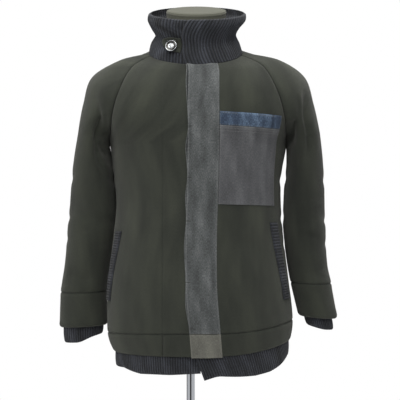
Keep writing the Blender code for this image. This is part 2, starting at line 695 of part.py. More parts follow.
def make_hem_rib():
    """Rib band inside the hem. Its left end laps over its right end and droops at the corner."""
    line, far, once = hem_ring()
    end = once + 0.006
    columns = 2 * round(end / HEM_RIB_PITCH) + 1

    def ribs(shares, columns, inset, ribbed):
        rows = []
        for share in shares:
            below = max(share, 0)
            where = np.linspace(-0.004 + 0.018 * below, end, columns)
            points = along(line, far, where)
            step = np.gradient(points[:, :2], axis=0)
            out = np.stack([step[:, 1], -step[:, 0]], axis=-1)
            out /= np.linalg.norm(out, axis=-1, keepdims=True)
            lap = HEM_LAP * ease((where - once + 0.07) / 0.06)
            inward = CLOTH + RIB_RISE + 0.0006 - 0.0015 * below + 0.0030 * below**3 + inset + lap
            points[:, :2] += out * (rib_wave(columns, ribbed) - inward)[:, None]
            drop = np.interp(where / once, *np.transpose(HEM_RIB_DROPS))
            points[:, 2] -= drop * below + 0.013 * below * (1 - ease(where / 0.05))
            points[:, 2] += HEM_RIB_TUCK * max(-share, 0)
            rows.append(points)
        return np.array(rows)

    outer = ribs((1.0, 0.55, 0.05, -1.0), columns, 0.0, True)
    inner = ribs((1.0, 0.0, -1.0), 49, HEM_RIB_CLOTH, False)
    wall("hem_rib", outer, inner, "rib_knit")


def make_cuffs():
    """Rib cuffs inside the sleeves' hems, shorter towards the body."""
    for side, word, drop_outer, drop_inner, narrower in CUFFS:

        def band_ring(level, columns):
            """The sleeve band's own polygon at this level, read at more columns."""
            corners = sleeve_row(side, level, SLEEVE_SHARES)
            return along(corners, SLEEVE_SHARES, (np.arange(columns) / columns)[::side])

        def cuff(drops, columns, inset, ribbed):
            hem = band_ring(0.0, columns)
            axis = hem.mean(axis=0) - band_ring(0.5, columns).mean(axis=0)
            axis /= np.linalg.norm(axis)
            rows = []
            for drop in drops:
                edge = band_ring(CUFF_TUCK * max(-drop, 0), columns)
                out = edge - edge.mean(axis=0)
                out /= np.linalg.norm(out, axis=-1, keepdims=True)
                reach = drop_inner + (drop_outer - drop_inner) * ease(0.75 + 0.6 * side * out[:, 0])
                tighter = narrower * ease(1 + drop) + 0.003 * max(drop, 0) ** 3
                inward = CLOTH + RIB_RISE + 0.0006 + tighter + inset
                points = edge + out * (rib_wave(columns, ribbed) - inward)[:, None]
                rows.append(points + axis * (max(drop, 0) * reach)[:, None])
            return np.array(rows)

        outer = cuff((1.0, 0.5, 0.05, -1.0), 2 * CUFF_RIBS, 0.0, True)
        inner = cuff((1.0, 0.0, -1.0), CUFF_RIBS, HEM_RIB_CLOTH, False)
        wall(f"cuff_{word}", outer, inner, "rib_knit", ring=True)


def form_ring(level, slack, filled):
    """One ring of the form, slack inside the jacket's cloth, filling this share of the sleeves' caps."""
    halves = []
    for side in (1, -1):
        front = body_row(-1, level, side * np.linspace(0, row_length(-1, level, side), 24))
        back = body_row(1, level, side * np.linspace(row_length(1, level, side), 0, 24))
        line = front
        if level > UNDERARM:
            cap = sleeve_row(side, level, np.linspace(0, 1, 25))
            chord = front[-1] + (back[0] - front[-1]) * np.linspace(0, 1, 25)[:, None]
            line = np.concatenate([line, (chord + (cap - chord) * filled)[1:-1]])
        halves.append(np.concatenate([line, back]))
    line = np.concatenate([halves[0], halves[1][::-1][1:]])
    far = distances(line)
    ring = along(line, far, np.linspace(0, far[-1], 33)[:-1])
    centre = ring.mean(axis=0)
    out = ring - centre
    out[:, 2] = 0
    out /= np.linalg.norm(out, axis=-1, keepdims=True)
    return ring - out * (CLOTH + slack)


def skin(name, rings, finish, tip=None):
    """A solid through a stack of rings, flat at the foot, with a flat or a pointed top."""
    bm = bmesh.new()
    loops = [[bm.verts.new(p) for p in ring] for ring in rings]
    count = len(loops[0])
    for low, high in zip(loops, loops[1:]):
        for k in range(count):
            n = (k + 1) % count
            bm.faces.new((low[k], low[n], high[n]))
            bm.faces.new((low[k], high[n], high[k]))
    bm.faces.new(loops[0][::-1])
    if tip is None:
        bm.faces.new(loops[-1])
    else:
        top = bm.verts.new(tip)
        for k in range(count):
            bm.faces.new((loops[-1][k], loops[-1][(k + 1) % count], top))
    finished(name, bm, finish)


def make_form():
    """Limbless dress form: a smooth torso from hip to neck, with closed armholes, and a cap on the neck."""
    # level on the jacket, slack inside its cloth, how much of the sleeves' caps the form fills, and drop
    stations = (
        (0.95, 0.026, 0.0, 0.0),
        (2.0, 0.018, 0.0, 0.0),
        (3.0, 0.014, 0.0, 0.0),
        (4.0, 0.014, 0.0, 0.0),
        (5.0, 0.013, 0.0, 0.0),
        (6.0, 0.014, 0.0, 0.0),
        (7.0, 0.016, 0.10, 0.0),
        (7.6, 0.014, 0.30, 0.004),
        (8.2, 0.010, 0.66, 0.005),
        (8.7, 0.005, 0.96, 0.0050),
        (9.2, 0.002, 1.0, 0.0060),
        (9.7, 0.003, 1.0, 0.0070),
    )
    rings = [form_ring(w, slack, filled) - (0, 0, drop) for w, slack, filled, drop in stations]
    low = rings[0].copy()
    low[:, 2] = FORM_BOTTOM + 0.012
    foot = low + (low.mean(axis=0) - low) * 0.06
    foot[:, 2] = FORM_BOTTOM
    degrees = np.linspace(0, 360, 33)[:-1]
    neck = (
        (0.0800, 0.0720, -0.0050, -0.0080, 1.2760, 0.0300),
        (0.0690, 0.0630, -0.0045, -0.0070, 1.2960, 0.0230),
        (0.0640, 0.0600, -0.0040, -0.0080, 1.3250, 0.0200),
        (0.0655, 0.0610, -0.0035, -0.0100, 1.3575, 0.0190),
    )
    rings = [foot, low] + rings[1:] + [neck_ring(np.array(ring), degrees) for ring in neck]
    skin("form_torso", rings, "form_jersey")

    top = np.array(neck[-1])
    lids = []
    for share, height in ((1.0, 0.0), (1.008, 0.003), (0.985, 0.007), (0.90, 0.0087)):
        lid = top * (share, share, 1, 1, 1, share) + (0, 0, 0, 0, SEAM + height, 0)
        lids.append(neck_ring(lid, degrees))
    skin("form_neck_cap", lids, "form_jersey", (top[2], top[3], top[4] + 0.0100))


def make_stand():
    """Round foot with a hub, the pole, and the plate that carries the form."""
    upright = ((1, 0, 0), (0, 1, 0), (0, 0, 1))
    edge = 0.003
    foot = (
        (0.0, 0.0),
        (BASE_RADIUS - edge, 0.0),
        (BASE_RADIUS, edge),
        (BASE_RADIUS, BASE_HEIGHT - edge),
        (BASE_RADIUS - edge, BASE_HEIGHT),
        (0.026, BASE_HEIGHT + 0.004),
        (0.020, BASE_HEIGHT + 0.020),
        (0.017, BASE_HEIGHT + 0.023),
        (0.0, BASE_HEIGHT + 0.023),
    )
    lathe("stand_base", foot, (0, 0, 0), upright, "chrome", 32, "stand")
    bottom = BASE_HEIGHT + 0.023 + SEAM
    plate = FORM_BOTTOM - SEAM - 0.006
    pole = ((0.0, bottom), (POLE_RADIUS, bottom), (POLE_RADIUS, plate - SEAM), (0.0, plate - SEAM))
    lathe("stand_pole", pole, (0, 0, 0), upright, "chrome", 20, "stand")
    disc = ((0.0, plate), (0.045, plate), (0.045, plate + 0.006), (0.0, plate + 0.006))
    lathe("stand_plate", disc, (0, 0, 0), upright, "chrome", 24, "stand")


def main():
    for old in list(bpy.data.objects):
        bpy.data.objects.remove(old)
    for name, x in (("jacket_on_form", FORM_OFFSET), ("stand", 0.0)):
        empty = bpy.data.objects.new(name, None)
        empty.location = (x, 0, 0)
        bpy.context.scene.collection.objects.link(empty)
    make_shell()
    make_placket()
    make_pocket()
    make_welts()
    make_collar()
    make_tab()
    make_hem_rib()
    make_cuffs()
    make_form()
    make_stand()


main()
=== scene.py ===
# Raglan cotton jacket on a dress form: its cloth, ribs, stitches and button, the stand, and the light.

import math

import bpy
import numpy as np
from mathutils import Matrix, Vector, noise


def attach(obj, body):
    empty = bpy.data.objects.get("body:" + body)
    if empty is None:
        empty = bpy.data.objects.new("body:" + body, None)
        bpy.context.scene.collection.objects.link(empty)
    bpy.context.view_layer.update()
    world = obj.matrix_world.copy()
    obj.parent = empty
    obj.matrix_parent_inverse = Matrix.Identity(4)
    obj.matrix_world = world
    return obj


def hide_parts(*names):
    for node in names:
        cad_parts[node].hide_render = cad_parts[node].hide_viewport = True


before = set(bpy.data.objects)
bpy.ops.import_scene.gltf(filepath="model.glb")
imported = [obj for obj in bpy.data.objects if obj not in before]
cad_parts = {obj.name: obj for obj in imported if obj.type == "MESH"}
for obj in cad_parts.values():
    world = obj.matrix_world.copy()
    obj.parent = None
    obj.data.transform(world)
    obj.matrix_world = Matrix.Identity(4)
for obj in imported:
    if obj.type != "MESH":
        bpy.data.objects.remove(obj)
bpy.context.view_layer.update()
print("frame loaded")

formX = 0.016  # the jacket and form hang this far beside the pole
seamGap = 0.0003
layGap = 0.0005


def srgb(code):
    parts = [int(code[k:k + 2], 16) / 255 for k in (0, 2, 4)]
    return tuple(c / 12.92 if c <= 0.04045 else ((c + 0.055) / 1.055) ** 2.4 for c in parts) + (1.0,)


def addNode(tree, kind, inputs=None, **settings):
    # one node: its settings, then a value or another node's socket for each input
    node = tree.nodes.new(kind)
    for key, value in settings.items():
        setattr(node, key, value)
    for key, value in (inputs or {}).items():
        if isinstance(value, bpy.types.NodeSocket):
            tree.links.new(value, node.inputs[key])
        else:
            node.inputs[key].default_value = value
    return node


# Cloth materials read the piece's own UV map, which is in metres of cloth, and three numbers kept on its
# points: wear (1 at a seam or edge), rib (1 on a rib's crest; painted light on the crests, painted shade in
# the valleys) and shade: painted shade in seams, along the facing line, under and beside the fly and on the
# left sleeve, which also carries the real tones of the denim's pieces.
fabrics = {
    "doubleKnitCotton": dict(colour="2A2D28", light="393C34", dark="161917", across=0.0012, along=0.0010,
                             weave="knit", bump=0.00022, mottle=22, melange=0.14, wear=0.10, rough=0.93,
                             sheen=0.10),
    "ribKnitCotton": dict(colour="24262C", light="42454F", dark="0E0F12", across=0.0013, along=0.0011,
                          weave="knit", bump=0.00030, mottle=30, melange=0.22, wear=0.05, rough=0.95,
                          sheen=0.08),
    "washedGreyTwill": dict(colour="474A4C", light="686B6E", dark="2A2C2E", across=0.0007, along=0.0007,
                            weave="woven", bump=0.00014, mottle=48, melange=0.34, wear=0.22, rough=0.90,
                            sheen=0.06),
    "washedGreyPlainWeave": dict(colour="4B4C50", light="65676B", dark="313236", across=0.0008, along=0.0008,
                                 weave="woven", bump=0.00014, mottle=34, melange=0.28, wear=0.14,
                                 rough=0.90, sheen=0.06),
    "hemPatchTwill": dict(colour="5E5E5A", light="77776F", dark="42423E", across=0.0007, along=0.0007,
                          weave="woven", bump=0.00012, mottle=40, melange=0.28, wear=0.16, rough=0.90,
                          sheen=0.06),
    "fadedIndigoDenim": dict(colour="344155", light="62758D", dark="1C2433", across=0.0008, along=0.0009,
                             weave="woven", bump=0.00018, mottle=70, melange=0.34, wear=0.18, rough=0.88,
                             sheen=0.05),
    "formJersey": dict(colour="4B4C44", light="5A5B52", dark="3A3B35", across=0.0010, along=0.0009,
                       weave="knit", bump=0.00012, mottle=18, melange=0.10, wear=0.05, rough=0.85,
                       sheen=0.10),
}


def makeFabric(name, plan):
    made = bpy.data.materials.new(name)
    made.use_nodes = True
    tree = made.node_tree
    shader = tree.nodes["Principled BSDF"]
    shader.inputs["Roughness"].default_value = plan["rough"]
    shader.inputs["Specular IOR Level"].default_value = 0.18
    shader.inputs["Sheen Weight"].default_value = plan["sheen"]
    shader.inputs["Sheen Roughness"].default_value = 0.6

    def calc(operation, a, b=0.0, c=0.0):
        return addNode(tree, "ShaderNodeMath", {0: a, 1: b, 2: c}, operation=operation).outputs[0]

    cloth = addNode(tree, "ShaderNodeUVMap", uv_map="cloth").outputs[0]
    parts = addNode(tree, "ShaderNodeSeparateXYZ", {0: cloth})
    u = calc("DIVIDE", parts.outputs[0], plan["across"])
    v = calc("DIVIDE", parts.outputs[1], plan["along"])
    if plan["weave"] == "knit":  # columns of V stitches
        off = calc("ABSOLUTE", calc("SUBTRACT", calc("FRACT", u), 0.5))
        loops = calc("SINE", calc("MULTIPLY", calc("ADD", v, calc("MULTIPLY", off, 1.1)), 2 * math.pi))
        wales = calc("SUBTRACT", 1.0, calc("POWER", calc("MULTIPLY", off, 2.0), 3.0))
        thread = calc("ADD", calc("MULTIPLY", wales, 0.6), calc("MULTIPLY", loops, 0.25))
    else:  # threads over and under, the warp a little prouder
        warp = calc("SINE", calc("MULTIPLY", u, 2 * math.pi))
        weft = calc("SINE", calc("MULTIPLY", v, 2 * math.pi))
        thread = calc("ADD", calc("MULTIPLY", calc("MULTIPLY", warp, weft), 0.45),
                      calc("MULTIPLY", warp, 0.25))

    stretched = addNode(tree, "ShaderNodeVectorMath", {0: cloth, 1: (1.0, 0.28, 1.0)},
                        operation="MULTIPLY").outputs[0]
    blotch = addNode(tree, "ShaderNodeTexNoise", {"Vector": stretched, "Scale": plan["mottle"],
                                                  "Detail": 3.0}).outputs[0]
    fibre = addNode(tree, "ShaderNodeTexNoise", {"Vector": stretched, "Scale": 900.0,
                                                 "Detail": 2.0}).outputs[0]
    fuzz = addNode(tree, "ShaderNodeTexNoise", {"Vector": cloth, "Scale": 2600.0, "Detail": 2.0}).outputs[0]
    shade = addNode(tree, "ShaderNodeAttribute", attribute_name="shade").outputs["Fac"]
    wear = addNode(tree, "ShaderNodeAttribute", attribute_name="wear").outputs["Fac"]
    rib = addNode(tree, "ShaderNodeAttribute", attribute_name="rib").outputs["Fac"]

    spread = calc("MULTIPLY", calc("SUBTRACT", blotch, 0.5), 1.3)
    melange = calc("MULTIPLY", calc("SUBTRACT", fibre, 0.5), plan["melange"] * 4)
    rubbed = calc("MULTIPLY", calc("MULTIPLY", wear, plan["wear"]), calc("ADD", fibre, 0.3))
    # the shade mark adds painted shade (and the denim's own tones); the rib mark adds painted light on rib
    # crests and painted shade in their valleys
    tone = calc("ADD", calc("ADD", spread, melange), calc("ADD", rubbed,
                                                          calc("ADD", shade, calc("MULTIPLY", rib, 0.55))))
    tone = calc("ADD", tone, 0.5)
    ramp = addNode(tree, "ShaderNodeValToRGB", {0: tone})
    ramp.color_ramp.elements[0].color = srgb(plan["dark"])
    ramp.color_ramp.elements[1].color = srgb(plan["light"])
    middle = ramp.color_ramp.elements.new(0.5)
    middle.color = srgb(plan["colour"])
    tree.links.new(ramp.outputs[0], shader.inputs["Base Color"])

    height = calc("ADD", thread, calc("MULTIPLY", fuzz, 0.7))
    bump = addNode(tree, "ShaderNodeBump", {"Height": height, "Distance": plan["bump"], "Strength": 0.8})
    tree.links.new(bump.outputs[0], shader.inputs["Normal"])
    return made


def makeHard(name, colour, rough, metal=0.0, grain=0.0, scale=900.0, coat=0.0, stretch=(1, 1, 1)):
    # moulded, plated or spun goods: fine grain in the roughness and surface, read from the object's own
    # space
    made = bpy.data.materials.new(name)
    made.use_nodes = True
    tree = made.node_tree
    shader = tree.nodes["Principled BSDF"]
    shader.inputs["Base Color"].default_value = srgb(colour)
    shader.inputs["Metallic"].default_value = metal
    shader.inputs["Coat Weight"].default_value = coat
    shader.inputs["Coat Roughness"].default_value = 0.08
    place = addNode(tree, "ShaderNodeTexCoord").outputs["Object"]
    drawn = addNode(tree, "ShaderNodeVectorMath", {0: place, 1: stretch}, operation="MULTIPLY").outputs[0]
    specks = addNode(tree, "ShaderNodeTexNoise", {"Vector": drawn, "Scale": scale, "Detail": 3.0}).outputs[0]
    worn = addNode(tree, "ShaderNodeMapRange", {0: specks, 1: 0.3, 2: 0.7, 3: rough * 0.7,
                                                4: rough * 1.4}).outputs[0]
    tree.links.new(worn, shader.inputs["Roughness"])
    bump = addNode(tree, "ShaderNodeBump", {"Height": specks, "Distance": grain, "Strength": 0.5})
    tree.links.new(bump.outputs[0], shader.inputs["Normal"])
    return made


finishes = {name: makeFabric(name, plan) for name, plan in fabrics.items()}
finishes["mouldedButtonResin"] = makeHard("mouldedButtonResin", "0B0B0D", 0.16, grain=0.00002, coat=0.6)
finishes["castButtonRing"] = makeHard("castButtonRing", "B9BCC2", 0.22, metal=1.0, grain=0.00003)
finishes["platedSteel"] = makeHard("platedSteel", "C4C7CC", 0.09, metal=1.0, grain=0.00001, scale=300,
                                   stretch=(1, 1, 0.05))
finishes["darkSewingThread"] = makeHard("darkSewingThread", "1D1F1F", 0.85, grain=0.00010, scale=4000)
finishes["greySewingThread"] = makeHard("greySewingThread", "6C6E70", 0.85, grain=0.00010, scale=4000)
finishes["oliveSewingThread"] = makeHard("oliveSewingThread", "2B2E29", 0.85, grain=0.00010, scale=4000)
print("materials made")

# The jacket's own form, level by level: hem edge, band seam, hip, high hip, waist, rib cage, underarm,
# armhole, chest, shoulder, neckline. Each row runs from the centre line to its seam: centre y and z, the
# seam's x on each side, its y and z, the heading there in degrees, and how far the curve is pulled.
bodyShape = {
    -1: np.array((
        (-0.129, 0.622, 0.184, 0.202, 0.000, 0.6225, 90, 0.073),
        (-0.136, 0.672, 0.1975, 0.2075, 0.000, 0.6640, 90, 0.076),
        (-0.136, 0.765, 0.1965, 0.199, 0.000, 0.765, 90, 0.076),
        (-0.129, 0.870, 0.185, 0.186, 0.000, 0.870, 90, 0.072),
        (-0.126, 0.945, 0.178, 0.181, 0.000, 0.945, 90, 0.070),
        (-0.130, 1.005, 0.1845, 0.1815, 0.000, 1.005, 90, 0.072),
        (-0.134, 1.067, 0.1935, 0.194, 0.000, 1.067, 90, 0.074),
        (-0.134, 1.118, 0.185, 0.186, -0.082, 1.118, 62, 0.045),
        (-0.126, 1.178, 0.167, 0.168, -0.098, 1.180, 32, 0.040),
        (-0.111, 1.216, 0.138, 0.138, -0.073, 1.237, 34, 0.035),
        (-0.100, 1.235, 0.094, 0.094, -0.0295, 1.264, 76, 0.030),
    )),
    1: np.array((
        (0.131, 0.617, 0.184, 0.202, 0.000, 0.6225, 90, 0.073),
        (0.138, 0.670, 0.1975, 0.2075, 0.000, 0.6640, 90, 0.077),
        (0.136, 0.765, 0.1965, 0.199, 0.000, 0.765, 90, 0.076),
        (0.120, 0.870, 0.185, 0.186, 0.000, 0.870, 90, 0.068),
        (0.108, 0.945, 0.178, 0.181, 0.000, 0.945, 90, 0.062),
        (0.113, 1.005, 0.1845, 0.1815, 0.000, 1.005, 90, 0.064),
        (0.121, 1.067, 0.1935, 0.194, 0.000, 1.067, 90, 0.068),
        (0.127, 1.128, 0.188, 0.189, 0.084, 1.124, 64, 0.045),
        (0.124, 1.200, 0.168, 0.169, 0.101, 1.195, 36, 0.040),
        (0.103, 1.268, 0.130, 0.130, 0.081, 1.256, 34, 0.035),
        (0.078, 1.308, 0.089, 0.089, 0.0223, 1.285, 68, 0.030),
    )),
}
# Sleeves, hem to underarm: outer x and z, inner x and z, middle y, depth to the front and to the back.
sleeveShape = {
    -1: np.array((
        (0.3105, 0.665, 0.2035, 0.671, 0.050, 0.043, 0.045),
        (0.3073, 0.744, 0.2045, 0.746, 0.050, 0.047, 0.049),
        (0.2970, 0.816, 0.1962, 0.812, 0.048, 0.051, 0.053),
        (0.2898, 0.898, 0.1832, 0.890, 0.040, 0.056, 0.058),
        (0.2822, 0.972, 0.1808, 0.960, 0.030, 0.061, 0.063),
        (0.2735, 1.038, 0.1877, 1.022, 0.011, 0.067, 0.069),
        (0.2625, 1.095, 0.1935, 1.067, 0.000, 0.072, 0.076),
    )),
    1: np.array((
        (0.3085, 0.688, 0.2235, 0.694, 0.022, 0.044, 0.046),
        (0.2941, 0.766, 0.2058, 0.768, 0.020, 0.047, 0.049),
        (0.2839, 0.826, 0.1962, 0.824, 0.016, 0.051, 0.053),
        (0.2807, 0.898, 0.1895, 0.890, 0.012, 0.056, 0.058),
        (0.2777, 0.976, 0.1905, 0.962, 0.008, 0.061, 0.063),
        (0.2739, 1.038, 0.1960, 1.026, 0.004, 0.067, 0.069),
        (0.2669, 1.095, 0.1940, 1.067, 0.000, 0.072, 0.076),
    )),
}
# Over the shoulder, underarm to neckline: ridge x right and left, ridge z, heading off each seam, two
# pulls, rise.
capShape = np.array((
    (0.2625, 0.2669, 1.0950, -90, -90, 0.098, 0.098, 0.00),
    (0.2510, 0.2530, 1.1600, -45, -48, 0.045, 0.062, 0.20),
    (0.2305, 0.2325, 1.2195, 4, 2, 0.045, 0.056, 0.40),
    (0.1640, 0.1740, 1.2560, 36, 34, 0.040, 0.045, 0.50),
    (0.0960, 0.0960, 1.2750, 80, 80, 0.012, 0.012, 0.10),
))
underarm, neckline = 6, 10
neckEnds = {-1: 78, 1: 68}  # degrees round the neck, from the front or the back, to the raglan seam
neckSeam = (0.1010, 0.0890, -0.0050, -0.0110, 1.2715, 0.0365)
hemCurve = dict(rise=0.0100, tilt=0.0125)


def between(rows, level):
    # smooth reading of a table between its rows
    rows = np.asarray(rows, float)
    last = len(rows) - 1
    i = int(min(max(math.floor(level), 0), last - 1))
    t = level - i
    a, b, c, d = rows[max(i - 1, 0)], rows[i], rows[i + 1], rows[min(i + 2, last)]
    bend, twist = 2 * a - 5 * b + 4 * c - d, 3 * b - a - 3 * c + d
    return 0.5 * (2 * b + (c - a) * t + bend * t**2 + twist * t**3)


def ease(t):
    t = np.clip(t, 0.0, 1.0)
    return t * t * (3 - 2 * t)


def lengths(line):
    return np.concatenate([[0.0], np.cumsum(np.linalg.norm(np.diff(line, axis=0), axis=1))])


def curve(a, b, c, d):
    t = np.linspace(0, 1, 80)[:, None]
    line = a * (1 - t) ** 3 + 3 * b * t * (1 - t) ** 2 + 3 * c * t**2 * (1 - t) + d * t**3
    return line, lengths(line)


def readAt(line, far, where):
    return np.stack([np.interp(where, far, line[:, k]) for k in range(3)], axis=-1)


def neckRing(ring, degrees, side=1):
    halfWidth, halfDepth, centreX, centreY, sideZ, backRise = ring
    turn = np.radians(degrees)
    x = centreX + side * halfWidth * np.sin(turn)
    return np.stack([x, centreY - halfDepth * np.cos(turn), sideZ - backRise * np.cos(turn)], axis=-1)


def seamPoint(face, level, side):
    rows = bodyShape[face]
    right, left, y, z, turn, pull = between(rows if level > underarm else rows[:underarm + 1], level)[2:]
    return np.array((left if side > 0 else right, y, z)), math.radians(turn), pull


def bodyLine(face, level, side):
    centreY, centreZ = between(bodyShape[face], level)[:2]
    seam, turn, pull = seamPoint(face, level, side)
    climb = (seam[2] - centreZ) / 3
    leave = np.array((0.6 * seam[0], centreY, centreZ + climb))
    arrive = seam + (-pull * math.cos(turn), face * pull * math.sin(turn), -climb)
    return curve(np.array((0, centreY, centreZ)), leave, arrive, seam)


def rowLength(face, level, side=1):
    return bodyLine(face, level, side)[1][-1]


def bodyRow(face, level, stations):
    # points of the body's surface at these distances from the centre line
    stations = np.asarray(stations, float)
    points = np.zeros((len(stations), 3))
    blend = ease(level - neckline + 1)
    for side in (-1, 1):
        here = stations < 0 if side < 0 else stations >= 0
        if not here.any():
            continue
        line, far = bodyLine(face, level, side)
        part = readAt(line, far, np.abs(stations[here]))
        part[:, 0] *= side
        if blend > 0:
            share = np.abs(stations[here]) / far[-1] * neckEnds[face]
            degrees = share if face < 0 else 180 - share
            part += blend * (neckRing(neckSeam, degrees, side) - part)
        points[here] = part
    x, z = points[:, 0], points[:, 2]
    reach = (np.abs(x) / 0.2) ** 2.5 * ease((0.80 - z) / 0.14)
    points[:, 2] += (hemCurve["rise"] + hemCurve["tilt"] * np.sign(x)) * reach
    return points


def sleeveRow(side, level, shares):
    # points round a sleeve: share 0 is its front seam, 0.5 the ridge and 1 its back seam
    shares = np.asarray(shares, float)
    if level <= underarm:
        outerX, outerZ, innerX, innerZ, middleY, front, back = between(sleeveShape[side], level)
        seam = np.array((innerX, middleY, innerZ))
        ridge = np.array((outerX, middleY, outerZ))
        halves = [(seam, np.array((0.0, -1, 0)), front * 4 / 3, front * 4 / 3),
                  (seam, np.array((0.0, 1, 0)), back * 4 / 3, back * 4 / 3)]
    else:
        right, left, ridgeZ, frontTurn, backTurn, seamPull, ridgePull, rise = between(capShape,
                                                                                      level - underarm)
        ridge = np.array((left if side > 0 else right, 0, ridgeZ))
        halves = []
        for face, turn in ((-1, math.radians(frontTurn)), (1, math.radians(backTurn))):
            heading = np.array((math.cos(turn), -face * math.sin(turn), rise))
            heading /= np.linalg.norm(heading)
            halves.append((seamPoint(face, level, side)[0], heading, seamPull, ridgePull))
    points = np.zeros((len(shares), 3))
    for face, (seam, heading, seamPull, ridgePull) in zip((-1, 1), halves):
        arrive = ridge + np.array((0, face * ridgePull, 0))
        line, far = curve(seam, seam + heading * seamPull, arrive, ridge)
        here = shares <= 0.5 if face < 0 else shares > 0.5
        share = shares[here] * 2 if face < 0 else (1 - shares[here]) * 2
        points[here] = readAt(line, far, share * far[-1])
    if level < 0.12:  # the hem curls in
        inward = points.mean(axis=0) - points
        points += inward / np.linalg.norm(inward, axis=-1,
                                          keepdims=True) * 0.003 * (1 - max(level, 0) / 0.12)
    points[:, 0] *= side
    blend = ease(level - neckline + 1)
    if blend > 0:
        degrees = neckEnds[-1] + shares * (180 - neckEnds[1] - neckEnds[-1])
        points += blend * (neckRing(neckSeam, degrees, side) - points)
    return points


def gridNormals(grid):
    normals = np.cross(np.gradient(grid, axis=1), np.gradient(grid, axis=0))
    return normals / np.maximum(np.linalg.norm(normals, axis=-1, keepdims=True), 1e-12)


# Folds, each given one by one: which way it faces, its line as seen from there (across, height), depth and
# half width. A negative depth is a ridge. Side views read y across.
mainFolds = [  # the large ones, which the solids have too
    ("front", ((-0.221, 1.175), (-0.214, 1.080)), 0.005, 0.014),
    ("front", ((-0.204, 1.130), (-0.203, 1.040)), 0.011, 0.018),
    ("front", ((0.231, 1.155), (0.233, 1.050)), 0.008, 0.014),
    ("front", ((0.201, 1.120), (0.196, 1.065)), 0.007, 0.014),
    ("front", ((-0.285, 0.935), (-0.225, 0.905)), 0.005, 0.016),
    ("front", ((0.280, 0.925), (0.222, 0.900)), 0.005, 0.016),
    ("front", ((-0.290, 0.790), (-0.235, 0.772)), 0.004, 0.014),
    ("front", ((0.292, 0.800), (0.235, 0.790)), 0.004, 0.014),
    ("back", ((-0.222, 1.180), (-0.206, 1.060)), 0.010, 0.015),
    ("back", ((0.222, 1.180), (0.206, 1.060)), 0.010, 0.015),
    ("back", ((-0.020, 1.060), (0.012, 0.860)), 0.004, 0.045),
]
